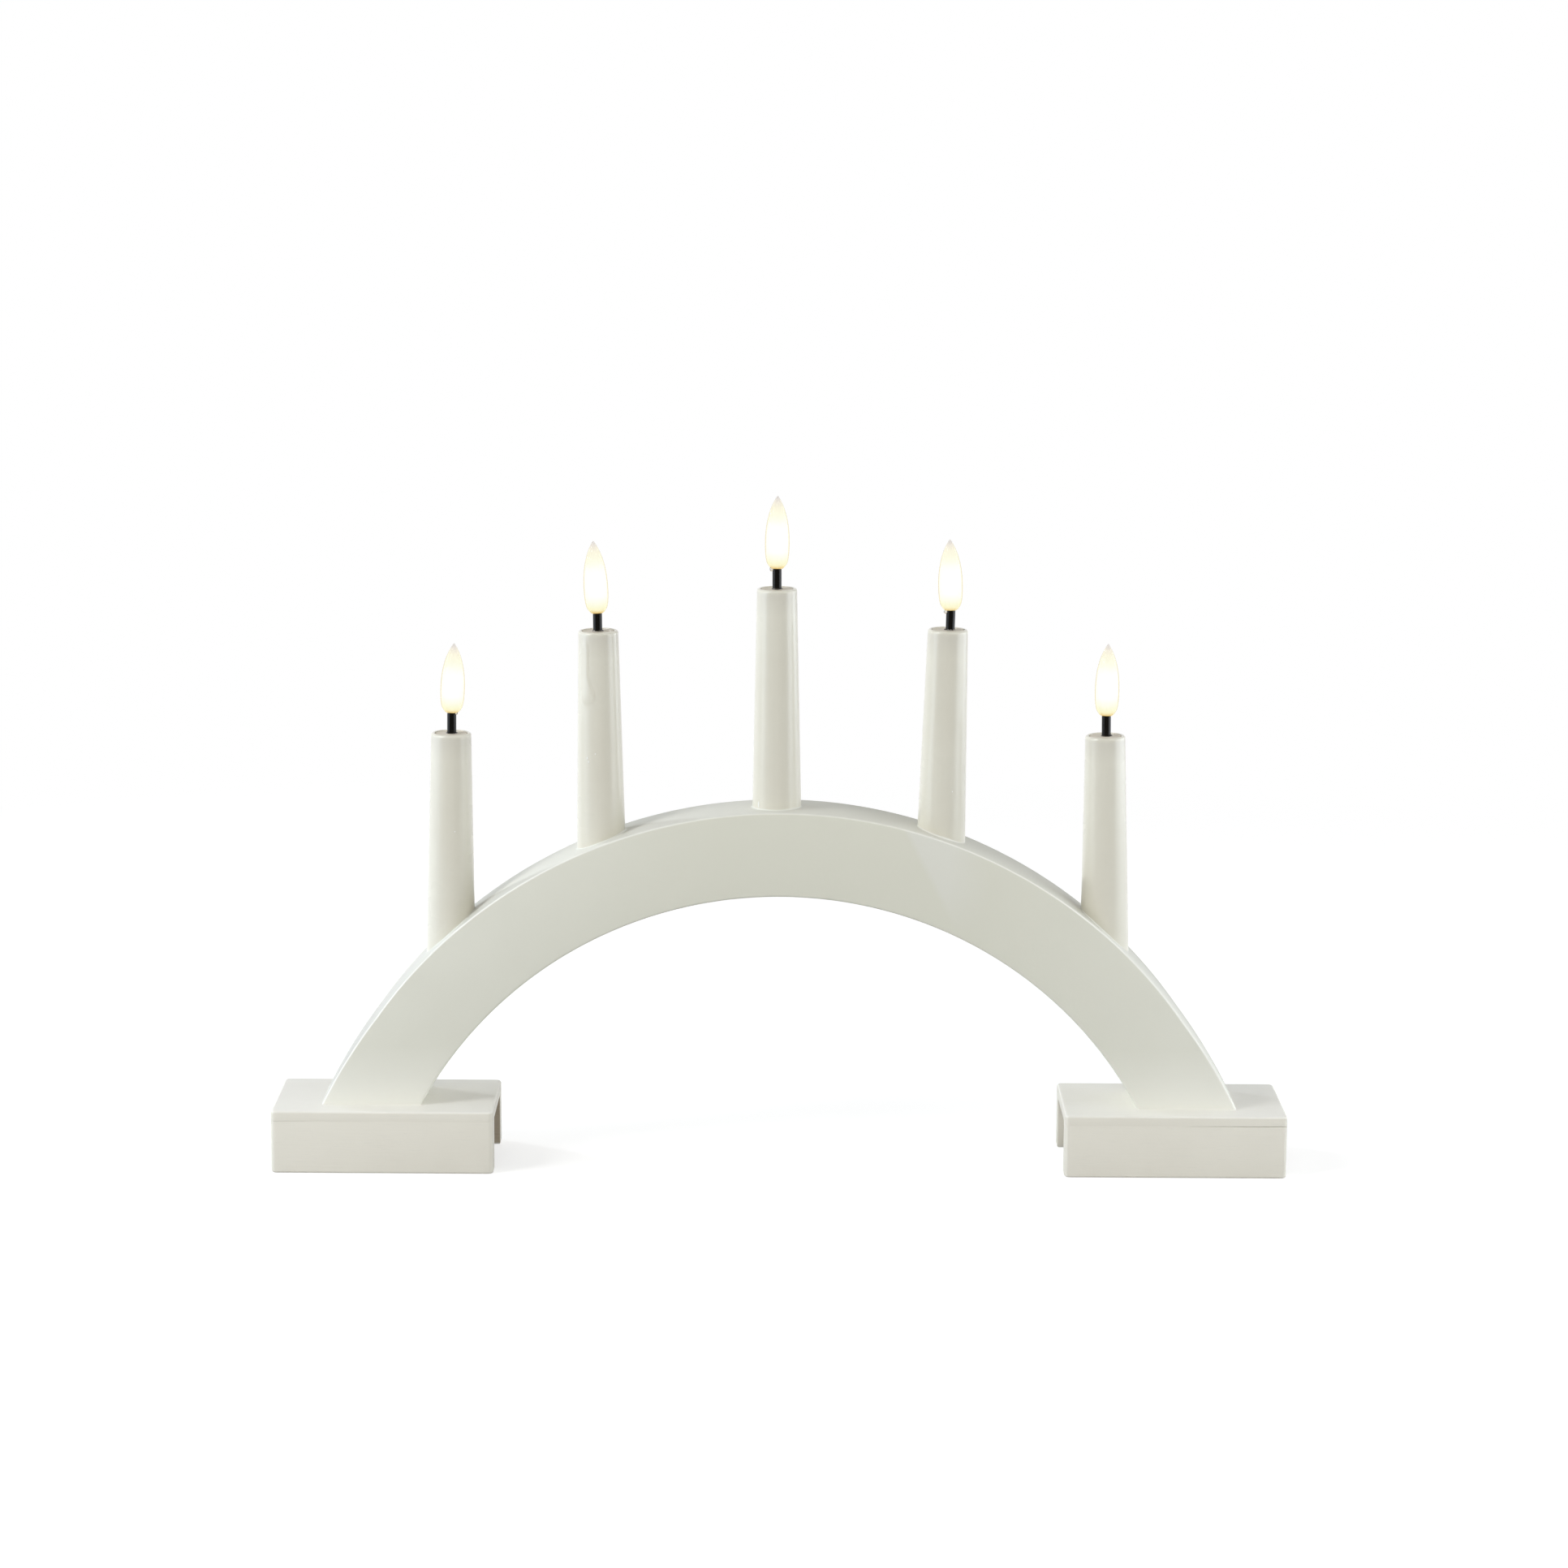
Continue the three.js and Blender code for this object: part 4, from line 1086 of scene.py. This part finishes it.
# Run of paint down the second candle: depth below the rim, and its two edges in degrees round from the front
paintRun = {
    "candle": 2,
    "depth": [0.8, 6.0, 17.5, 24.9, 27.2, 28.8],
    "left": [-46, -57, -57, -57, -50, -36],
    "right": [-38, -26, -26, -6, -11, -32],
    "thickness": [0.0, 0.26, 0.3, 0.5, 0.42, 0.0],
    "wallSpare": 0.05,  # what lies further in than the rim's radius less this does not swell
}
# Paint nibs: candle, degrees round from the front, depth below the rim, half width, half height, thickness
paintNibs = [(2, -32, 49.4, 0.28, 0.55, 0.14), (2, -28, 50.9, 0.25, 0.35, 0.12),
             (2, -10, 47.6, 0.2, 0.42, 0.1), (3, -48, 84.6, 0.35, 1.3, 0.22),
             (4, 22, 63.0, 0.22, 0.3, 0.08), (1, 14, 38.0, 0.2, 0.3, 0.08)]


# Swelling of the wall under the run: its thickness times (1 - q^6), with q going from -1 at its left edge to
# 1 at its right one
def runSwell(profile, length):
    depth = length - profile[:, 1, None]
    left, right, thick = (np.interp(depth, paintRun["depth"], paintRun[key])
                          for key in ("left", "right", "thickness"))
    front = (np.linspace(0, 360, tubeShape["sides"], endpoint=False) + 270) % 360 - 180
    q = np.clip((2 * front - left - right) / (right - left), -1, 1)
    outside = profile[:, 0, None] > tubeShape["topDiameter"] / 2 - paintRun["wallSpare"]
    return np.where(outside, thick * (1 - q**6), 0)


def tubeRadius(height, length):
    share = np.clip((height - tubeShape["straight"]) / (length - tubeShape["straight"]), 0, 1)
    return (tubeShape["baseDiameter"] + (tubeShape["topDiameter"] - tubeShape["baseDiameter"]) * share) / 2


# Nib: an ellipsoid half sunk in the wall, sin f times its half sizes along the wall, thickness times cos f
# outwards
def nibGrid(axis, degrees, depth, halfWidth, halfHeight, thickness):
    angle = math.radians(degrees - 90)
    height = axis["length"] - depth
    spoke = math.cos(angle) * axis["across"] + math.sin(angle) * axis["side"]
    tangent = math.cos(angle) * axis["side"] - math.sin(angle) * axis["across"]
    seat = {"base": axis["base"] + height * axis["up"] + tubeRadius(height, axis["length"]) * spoke,
            "across": halfWidth * tangent, "side": halfHeight * axis["up"], "up": spoke}
    return ball(seat, 1.0, thickness, sides=18, steps=12)


# Paint bead round a candle's foot: a hollow quarter circle between the wall and the arch's curved top,
# each point at the arch's own height there, its width wandering a little with the angle
def beadGrid(axis, k):
    s = beadShape
    phase = s["phase"][0] + s["phase"][1] * k
    angle = np.linspace(0, 2 * np.pi, s["sides"], endpoint=False)
    slow, quick = s["wander"]
    width = s["width"] * (1 + slow * np.sin(2 * angle + phase) + quick * np.sin(5 * angle + 2 * phase))
    f = np.radians(np.linspace(0, 90, s["steps"] + 1))[:, None]
    inward, sunk = np.full_like(angle, -s["inward"]), np.full_like(angle, -s["sunk"])
    out = np.concatenate([width * (1 - np.cos(f)), [width, inward, inward]])
    lift = np.concatenate([width * (1 - np.sin(f)), [sunk, sunk, width]])
    surface = heightOnArch(axis, 0.0, outerRadius)
    radius = tubeRadius(surface, axis["length"]) + out
    across = radius * np.cos(angle)
    return onAxis(axis, across, radius * np.sin(angle), heightOnArch(axis, across, outerRadius) + lift)


# Disc with a hole off its centre: each point lies a share of the way from the hole's circle to the rim's
def capGrid(axis, shift, top):
    s = capShape
    inner = wickShape["radius"] + s["holeGap"]
    outer = tubeShape["topDiameter"] / 2 - tubeShape["wall"] - s["gap"]
    angle = np.linspace(0, 2 * np.pi, s["sides"], endpoint=False)
    level = np.linspace(s["holeEdge"][0], 1 - s["edge"] / (outer - inner), s["rows"])
    blend = np.concatenate([[0, 0], level, [1, 1, 0]])[:, None]
    bowl = s["dish"] * (1 - (2 * level - 1) ** 2)
    low = top - s["thickness"]
    height = np.concatenate([[low, top - s["holeEdge"][1]], top - bowl, [top - s["edge"], low, low]])
    across = (1 - blend) * (shift + inner * np.cos(angle)) + blend * outer * np.cos(angle)
    side = (1 - blend) * (inner * np.sin(angle)) + blend * outer * np.sin(angle)
    return onAxis(axis, across, side, height[:, None])


def glueGrid(axis, top, k):  # ring of glue: a bead whose width and height wander with the angle
    s = glueShape
    angle = np.linspace(0, 2 * np.pi, s["sides"], endpoint=False)
    slow, quick = s["wander"]
    phase = s["phase"] * k
    wander = 1 + slow * np.sin(angle + phase) + quick * np.sin(3 * angle + 2.1 * phase)
    width, tall = s["width"] * wander, s["height"] * wander
    f = np.radians(np.linspace(90, 0, s["steps"] + 1))[:, None]
    inward, sunk = np.full_like(angle, -s["inward"]), np.full_like(angle, -s["sunk"])
    radius = wickShape["radius"] + np.concatenate([width * np.cos(f), [width, inward, inward]])
    lift = np.concatenate([tall * np.sin(f), [sunk, sunk, tall]])
    return onAxis(axis, radius * np.cos(angle), radius * np.sin(angle), top + lift)


def dropGrid(axis, across, back, radius, height, top):  # a flattened ball, its lower half in the disc
    return ball(movedAxis(axis, top, across, back), radius, height, sides=24, steps=14)


flameShape = {
    "height": 28.93,
    "seat": [(2.35, 0), (2.7, 0.1), (3.25, 0.9), (3.8, 1.8)],  # rounded base, as (radius, height)
    "flank": [(3.8, 1.8), (4.25, 2.6), (4.775, 5.0), (4.775, 10.0)],
    "taper": [(4.775, 10.0), (4.775, 17.6), (3.3, 24.2), (0.32, 28.66)],
    "tip": [(0.32, 28.66), (0.22, 28.83), (0.12, 28.93), (0, 28.93)],
    "steps": 20,
    "tipSteps": 5,
    "skin": 0.34,  # clear layer over the glowing core where it is widest, thinner by the radius elsewhere
    "seatSkin": 0.12,
    "tipClear": 0.1,  # clear length at the tip
    "gap": 0.03,  # between the skin and the core
    "bore": 2.1,
    "boreWall": 0.08,  # what the core keeps round it at the least
    "boreDepth": 2.0,
    "boreEdge": 0.3,
    "cavity": 1.9,
    "cavityHeight": 9.5,
    "cavityDome": (0.7, 0.6),  # share of its radius, depth below its top
    "sides": 72,
    "lift": [1.5, 0.6, 0.5, 1.15, 0.6],  # how far each flame stops short of the foot of its solid
}


# Outline of the flame in (radius, height): four cubic curves from the seat to the blunt tip
def flameOutline():
    curves = [cubic(flameShape[part], flameShape["steps"]) for part in ("seat", "flank", "taper")]
    curves.append(cubic(flameShape["tip"], flameShape["tipSteps"]))
    return np.concatenate([curves[0]] + [curve[1:] for curve in curves[1:]])


# The outline brought in by the skin and shortened at the tip, never inside the bore
def coreOutline(gap=0.0):
    s = flameShape
    outline = flameOutline()
    reach = (s["height"] - s["tipClear"] - s["seatSkin"]) / s["height"]
    height = outline[:, 1] * reach + s["seatSkin"] - gap
    least = np.where(height < s["boreDepth"], s["bore"] + s["boreWall"], 0)
    radius = np.maximum(outline[:, 0] * (1 - s["skin"] / outline[:, 0].max()) + gap, least)
    radius[-1] = 0
    return np.stack([radius, height], axis=1)


def coreProfile():  # the core's outside, after the bore for the wick and the cavity for the LED
    s = flameShape
    top, (share, depth) = s["cavityHeight"], s["cavityDome"]
    inside = np.array([(0, top), (s["cavity"] * share, top - depth), (s["cavity"], top - s["cavity"]),
                       (s["cavity"], s["boreDepth"] + s["boreEdge"]), (s["bore"], s["boreDepth"]),
                       (s["bore"], s["seatSkin"])])
    return np.concatenate([inside, coreOutline()])


def skinProfile():  # the flame's outside and back down along the core, a hair clear of it
    inner = coreOutline(flameShape["gap"])
    inner[-1] += (0, 2 * flameShape["gap"])
    return np.concatenate([flameOutline(), inner[::-1]])


# Clear nubs left at the foot of some flames: candle, angle round its axis in degrees, radius, height, size
nubs = [(3, 200, 2.3, -0.1, 0.72), (4, 205, 2.3, -0.4, 0.65), (1, -35, 2.4, 0.0, 0.45)]


def nubGrid(axis, angle, radius, height, size):  # a slightly tall ball: r = size sin f, h = 1.3 size cos f
    turn = math.radians(angle)
    centre = movedAxis(axis, height, radius * math.cos(turn), radius * math.sin(turn))
    return ball(centre, size, 1.3 * size, sides=24, steps=14)


for k in range(candleCount):
    name = f"candle_{k + 1}"
    axis, wick, flame = tubeAxis[k], wickAxis[k], movedAxis(flameAxis[k], flameShape["lift"][k])
    profile = tubeProfile(axis["length"])
    swell = runSwell(profile, axis["length"]) if k + 1 == paintRun["candle"] else 0.0
    addPiece(f"{name}_shell", turned(profile, axis, tubeShape["sides"], swell), candleFinish, "candle_white",
             [f"{name}_tube"], closeRows=True, along=profile[:, 1] / axis["length"])
    addPiece(f"{name}_paint_bead", beadGrid(axis, k), archFinish, "white_paint", closeRows=True)
    shift = (wick["base"] - axis["base"]) @ axis["across"]
    capTop = axis["length"] - capShape["sink"]
    addPiece(f"{name}_disc", capGrid(axis, shift, capTop), cardFinish, "cap_disc", [f"{name}_cap"],
             closeRows=True)
    hole = movedAxis(axis, 0, shift)
    addPiece(f"{name}_glue", glueGrid(hole, capTop, k), plain["wickGlue"], "cap_disc", closeRows=True)
    drops = [dropGrid(hole, *drop, capTop) for candle, *drop in glueDrops if candle == k + 1]
    if drops:
        addPiece(f"{name}_glue_drops", drops, plain["clearDrops"], "cap_disc")
    radius, bore, edge, tall = wickShape["radius"], wickShape["bore"], wickShape["edge"], wick["length"]
    sleeve = np.concatenate([[(bore, 0), (radius, 0)], arc((radius - edge, tall - edge), edge, 0, 90, 3),
                             [(bore, tall)]])
    addPiece(f"{name}_sleeve", turned(sleeve, wick, wickShape["sides"]), sleeveFinish, "wick_sleeve",
             [f"{name}_wick"], closeRows=True)
    # Paint nibs, in a lighter white finish that stands in for their glints, a painted highlight
    nibs = [nibGrid(axis, *nib) for candle, *nib in paintNibs if candle == k + 1]
    if nibs:
        addPiece(f"{name}_nibs", nibs, plain["paintNibs"], "candle_white")
    squeeze = np.array([1, 1 - flameShape["lift"][k] / flameShape["height"]])  # the tip keeps its place
    profile = coreProfile()
    addPiece(f"{name}_glow", turned(profile * squeeze, flame, flameShape["sides"]), glowFinish,
             "flame_diffuser", [f"{name}_flame"], along=profile[:, 1] / flameShape["height"])
    addPiece(f"{name}_flame_skin", turned(skinProfile() * squeeze, flame, flameShape["sides"]), skinFinish,
             "flame_diffuser", closeRows=True)
    paintNode(f"{name}_led", ledFinish)
    roundedCopy(f"{name}_lead", f"{name}_wire", 0, plain["wireJacket"], smoothAngle=wireSmooth)
for candle, *place in nubs:
    flame = movedAxis(flameAxis[candle - 1], flameShape["lift"][candle - 1])
    addPiece(f"candle_{candle}_nub", nubGrid(flame, *place), plain["clearResin"], "flame_diffuser")
print("candles done")


# Screws and wiring

screwShape = {
    "head": 4.0,
    "headDepth": 2.0,
    "headEdge": [(-0.35, 0.02), (-0.06, 0.2)],  # rounding of the head's rim, as (radius from the rim, height)
    "shank": 2.0,
    "tip": 5.0,
    "recess": 1.7,  # depth of the cross
    "reach": 2.3,  # half its length at the mouth
    "slot": 0.95,  # its width there
    "bottom": (0.5, 0.8),  # shares of that length and width left at its bottom
    "slotCorner": 0.05,
    "mouthSpare": 0.2,  # how far the tool starts outside the head
}


# Cross recess: two tapered bars, each a ring at the mouth and a smaller one at the bottom
def crossTools(x, y, z):
    s = screwShape
    mouth = np.array([s["reach"], s["slot"] / 2])
    low = -np.stack([mouth, mouth * s["bottom"]])
    height = np.array([z - s["mouthSpare"], z + s["recess"]])
    radius = np.full((len(height), 4), s["slotCorner"])
    tools = []
    for flip in (1, -1):
        ring = ringStack(low[:, ::flip], -low[:, ::flip], height, radius, steps=1)
        tools.append(surfacePiece("tool", ring + np.array([x, y, 0]), capped=True))
    return tools


for side in ("left", "right"):
    for place in ("front", "back"):
        node = f"arch_screw_{side}_{place}"
        axis, s = nodeAxis(node), screwShape
        rim = [(s["head"] + out, height) for out, height in s["headEdge"]]
        profile = [(0, rim[0][1]), *rim, (s["shank"], s["headDepth"]),
                   (s["shank"], axis["length"] - s["tip"]), (0, axis["length"])]
        screw = surfacePiece(f"screw_{side}_{place}", turned(profile, axis, sides=48))
        cutPiece(screw, crossTools(*axis["base"]))
        dress(screw, plain["zincScrew"], [node])
roundedCopy("wiring_harness", "wire_run", 0, plain["wireJacket"], smoothAngle=wireSmooth)
print("screws and wiring done")


# Battery compartment

roundedCopy("battery_case", "battery_housing", 0.3, plain["casePlastic"])
roundedCopy("battery_lid", "battery_cover", 0.25, plain["casePlastic"], "battery_lid")

lidRibs = {
    "count": 5,
    "first": 8.0,
    "pitch": 2.4,
    "width": 0.9,
    "halfLength": 6.0,
    "shorter": 0.7,  # how much each one stops short of the last, at both ends
    "height": 0.45,
    "sunk": 0.4,
    "corner": 0.4,
    "edge": 0.2,
    "grip": 0.6,  # how far the CAD grip stands below the lid's plate
}


def ribGrids():  # ribs in front of the grip, sunk into the lid's underside
    s = lidRibs
    low, high = nodeBox("battery_lid")
    face = low[2] + s["grip"]
    start = high[0] - s["first"] - s["pitch"] * np.arange(s["count"])
    half = s["halfLength"] - s["shorter"] * np.arange(s["count"])
    return [roundedBlock((x - s["width"] / 2, -reach, face - s["height"]),
                         (x + s["width"] / 2, reach, face + s["sunk"]),
                         [s["corner"]] * 4, s["edge"], 0.1, steps=3, support=0.1)
            for x, reach in zip(start, half)]


addPiece("battery_cover_ribs", ribGrids(), plain["casePlastic"], "case_plastic", body="battery_lid",
         capped=True)

# Cell: (radius, height, share along for its bands); steel below 0.02 and above 0.95, the wrap between
cellOutline = np.array([
    (0, 0.3, 0.0), (4.5, 0.3, 0.0), (4.8, 0.05, 0.0), (6.1, 0.0, 0.005), (6.25, 0.12, 0.01),
    (6.5, 0.02, 0.03), (6.85, 0.06, 0.035), (7.04, 0.25, 0.04), (7.1, 0.6, 0.05),
    (7.1, 12.0, 0.24), (7.1, 24.0, 0.48),
    (7.1, 36.0, 0.72), (7.1, 48.2, 0.90), (7.0, 48.65, 0.91), (6.7, 48.92, 0.92), (6.2, 49.0, 0.93),
    (5.9, 48.85, 0.94), (5.8, 48.5, 0.96), (3.3, 48.6, 0.97), (2.85, 48.8, 0.98), (2.75, 49.2, 0.985),
    (2.75, 50.2, 0.99), (2.5, 50.48, 0.995), (0, 50.5, 1.0)])
for place, towards in (("front", (-1, 0, 0)), ("back", (1, 0, 0))):
    grid = turned(cellOutline[:, :2], nodeAxis(f"cell_{place}", towards), sides=96)
    addPiece(f"battery_{place}", grid, cellFinish, "cell_jacket", [f"cell_{place}"], along=cellOutline[:, 2],
             smoothAngle=50)

springShape = {"wire": 0.8, "base": 9.2, "tip": 6.0, "turns": 3.0, "steps": 150, "sides": 12}


# Coil in line with its cell: the radius goes from base to tip as the turns go from the plate to the cell
def springGrid(node, cell, plateAtHigh):
    s = springShape
    low, high = nodeBox(node)
    middle = sum(nodeBox(cell))[1:] / 2
    share = np.linspace(0, 1, s["steps"] + 1)
    angle = 2 * np.pi * s["turns"] * share
    radius = (s["base"] + (s["tip"] - s["base"]) * share - s["wire"]) / 2
    start, end = (high[0], low[0]) if plateAtHigh else (low[0], high[0])
    inset = np.sign(end - start) * s["wire"] / 2
    x = start + inset + (end - start - 2 * inset) * share
    path = np.stack([x, middle[0] + radius * np.cos(angle), middle[1] + radius * np.sin(angle)], axis=1)
    return swept(path, s["wire"] / 2, s["sides"], (1, 0, 0))


for node, cell, plateAtHigh in (("negative_spring", "cell_front", True), ("link_spring", "cell_back", False)):
    addPiece(f"{node}_coil", springGrid(node, cell, plateAtHigh), plain["contactSteel"], "contact_steel",
             [node], capped=True, smoothAngle=60)
for node in ("negative_plate", "positive_plate", "link_plate"):
    roundedCopy(node, f"{node}_pressing", 0.12, plain["contactSteel"])

# Parts on the board beside the switch: centre in Y and Z, size across the board, height off it
boardParts = {"timer_chip": (-10.2, 11.5, 4.0, 5.0, 1.4), "pull_resistor": (10.0, 9.0, 2.0, 1.3, 0.55),
              "smoothing_capacitor": (10.2, 13.5, 2.4, 1.8, 1.0)}
partSunk, partEdge = 0.2, 0.12
outer = nodeBox("circuit_board")[1][0]
for name, (y, z, wide, tall, deep) in boardParts.items():
    grid = roundedBlock((outer - partSunk, y - wide / 2, z - tall / 2),
                        (outer + deep, y + wide / 2, z + tall / 2),
                        [partEdge] * 4, partEdge, partEdge, steps=3, support=0.1)
    addPiece(name, grid, plain["chipResin"], "switch_plastic", capped=True)
paintNode("circuit_board", boardFinish)
roundedCopy("switch_body", "switch_housing", 0.2, plain["switchPlastic"])
roundedCopy("switch_slider", "switch_knob", 0.15, plain["switchPlastic"], "switch_slider")

knobRibs = {"count": 3, "pitch": 0.62, "width": 0.26, "half": 0.65, "height": 0.12, "sunk": 0.15,
            "edge": 0.05}


def knobRibGrids():  # ridges across the knob's outer face
    s = knobRibs
    low, high = nodeBox("switch_slider")
    y = (low[1] + high[1]) / 2 + s["pitch"] * (np.arange(s["count"]) - (s["count"] - 1) / 2)
    middle, edge = (low[2] + high[2]) / 2, s["edge"]
    return [roundedBlock((high[0] - s["sunk"], v - s["width"] / 2, middle - s["half"]),
                         (high[0] + s["height"], v + s["width"] / 2, middle + s["half"]),
                         [edge] * 4, edge, edge, steps=2, support=0.03) for v in y]


addPiece("switch_knob_ribs", knobRibGrids(), plain["switchPlastic"], "switch_plastic", body="switch_slider",
         capped=True)
paintNode("adhesive_pad", foamFinish)
print("battery compartment done")


# Stage

stageShape = {
    "floorHalf": 9.0,
    "floorColour": (0.52, 0.515, 0.505, 1),
    "floorGlow": 0.63,
    "litRadius": 0.42,  # the floor shows shadows inside this radius
    "whiteRadius": 0.85,  # and is plain white beyond this one
    "worldGlow": 0.2,
    "darkSide": 0.1,  # what gloss mirrors from the side where the camera stands
    "darkFloor": (-0.75, -0.5),  # where the floor turns from that to white, along Y
    "darkWorld": (-0.75, -0.35),  # and where the world does, by direction
    "aim": (0.0, 0.0, 0.13),  # where the lamps look
}


def makeFloor():
    half = stageShape["floorHalf"]
    mesh = bpy.data.meshes.new("floor")
    corners = [(-half, -half, 0), (half, -half, 0), (half, half, 0), (-half, half, 0)]
    mesh.from_pydata(corners, [], [(0, 1, 2, 3)])
    floor = addObject("floor", mesh)
    material, tree, shader, place = startMaterial(
        "paleFloor", {"Roughness": 0.9, "Specular IOR Level": 0.0, "Base Color": stageShape["floorColour"]})
    # White to the camera and in gloss by a little glow of its own, plain white far out, clear from below
    rays = addNode(tree, "LightPath").outputs
    clear = calc(tree, "MAXIMUM", rays["Is Camera Ray"], rays["Is Transmission Ray"])
    ahead = split(tree, place["Object"])[1]
    mirrored = remap(tree, ahead, *stageShape["darkFloor"], stageShape["darkSide"], 1.0)
    seen = calc(tree, "MAXIMUM", clear, product(tree, rays["Is Glossy Ray"], mirrored))
    glow = addNode(tree, "Emission", {"Strength": product(tree, seen, stageShape["floorGlow"])}).outputs[0]
    lit = addNode(tree, "AddShader", {0: shader.outputs[0], 1: glow}).outputs[0]
    distance = vectorMath(tree, "LENGTH", place["Object"])
    far = product(tree, seen, remap(tree, distance, stageShape["litRadius"], stageShape["whiteRadius"]))
    white = addNode(tree, "Emission", {"Strength": 1.0}).outputs[0]
    lit = addNode(tree, "MixShader", {0: far, 1: lit, 2: white}).outputs[0]
    back = addNode(tree, "NewGeometry").outputs["Backfacing"]
    unseen = addNode(tree, "BsdfTransparent").outputs[0]
    shown = addNode(tree, "MixShader", {0: back, 1: lit, 2: unseen}).outputs[0]
    tree.links.new(shown, tree.nodes["Material Output"].inputs["Surface"])
    floor.data.materials.append(material)


def makeWorld():
    world = bpy.data.worlds.new("studio")
    bpy.context.scene.world = world
    world.use_nodes = True
    tree = world.node_tree
    rays = addNode(tree, "LightPath").outputs
    clear = calc(tree, "MAXIMUM", rays["Is Camera Ray"], rays["Is Transmission Ray"])
    # Gloss mirrors the white backdrop behind and beside the object, and a dimmer room in front of it
    direction = split(tree, addNode(tree, "TexCoord").outputs["Generated"])[1]
    mirrored = remap(tree, direction, *stageShape["darkWorld"], stageShape["darkSide"], 1.0)
    seen = calc(tree, "MAXIMUM", clear, product(tree, rays["Is Glossy Ray"], mirrored))
    background = tree.nodes["Background"]
    background.inputs["Color"].default_value = (1, 1, 1, 1)
    tree.links.new(calc(tree, "MAXIMUM", seen, stageShape["worldGlow"]), background.inputs["Strength"])


# Lamps: name, place in metres, width and height, watts, colour, shown in gloss or not; each looks at the arch
lamps = [
    ("keyLeftBack", (-1.70, 0.962, 0.53), (0.14, 0.14), 19.1, (0.88, 0.93, 1.0), False),
    ("leftPanel", (-1.85, -0.55, 0.5), (1.1, 1.2), 7.2, (0.76, 0.865, 1.0), True),
    ("leftScreen", (-0.84, -0.06, 0.26), (0.8, 0.5), 1.1, (0.64, 0.805, 1.0), True),
    ("leftFront", (-1.36, -0.78, 1.12), (0.6, 0.8), 15.0, (0.98, 0.975, 0.975), True),
    ("frontFill", (0.0, -2.15, 1.0), (1.6, 1.2), 12.5, (1.0, 0.99, 0.97), False),
    ("rightFront", (1.3, -1.35, 1.15), (0.8, 0.8), 6.0, (1.0, 0.98, 0.94), True),
    ("rightPanel", (1.8, 0.0, 0.4), (2.0, 1.2), 8.5, (1.0, 0.975, 0.93), True),
    ("rightScreen", (0.84, 0.0, 0.26), (1.1, 0.5), 3.7, (0.80, 0.89, 1.0), True),
    ("overhead", (0.0, 0.35, 1.9), (1.2, 1.0), 2.6, (1.0, 1.0, 0.99), True),
]


def makeLamps():
    target = np.array(stageShape["aim"])
    for name, place, size, watts, colour, inGloss in lamps:
        lamp = bpy.data.lights.new(name, "AREA")
        lamp.shape = "RECTANGLE"
        lamp.size, lamp.size_y = size
        lamp.energy = watts
        lamp.color = colour
        holder = addObject(name, lamp)
        holder.visible_glossy = inGloss
        holder.visible_camera = False
        back = np.array(place) - target
        back /= np.linalg.norm(back)
        right = np.cross([0, 0, 1], back)
        right /= np.linalg.norm(right)
        turn = np.stack([right, np.cross(back, right), back], axis=1)
        holder.matrix_world = Matrix.Translation(place) @ Matrix(turn.tolist()).to_4x4()


cameraSetting = {
    "place": (-0.003242, -1.599652, 0.450460),
    "tilt": 0.1843,  # radians down
    "pan": 0.0027,  # radians to the right
    "roll": 0.0067,
    "focal": 5095.99 / 1932,  # focal length as a share of the square picture's side
    "sensor": 36.0,
}


def makeCamera():
    s = cameraSetting
    lens = bpy.data.cameras.new("view")
    lens.sensor_fit = "HORIZONTAL"
    lens.sensor_width = s["sensor"]
    lens.lens = s["focal"] * s["sensor"]
    lens.clip_start = 0.05
    lens.clip_end = 60
    camera = addObject("view", lens)
    camera.matrix_world = (Matrix.Translation(s["place"]) @ Matrix.Rotation(-s["pan"], 4, "Z")
                           @ Matrix.Rotation(math.pi / 2 - s["tilt"], 4, "X")
                           @ Matrix.Rotation(s["roll"], 4, "Z"))
    bpy.context.scene.camera = camera


makeFloor()
makeWorld()
makeLamps()
makeCamera()
bpy.context.scene.view_settings.view_transform = "Standard"
print("stage set")
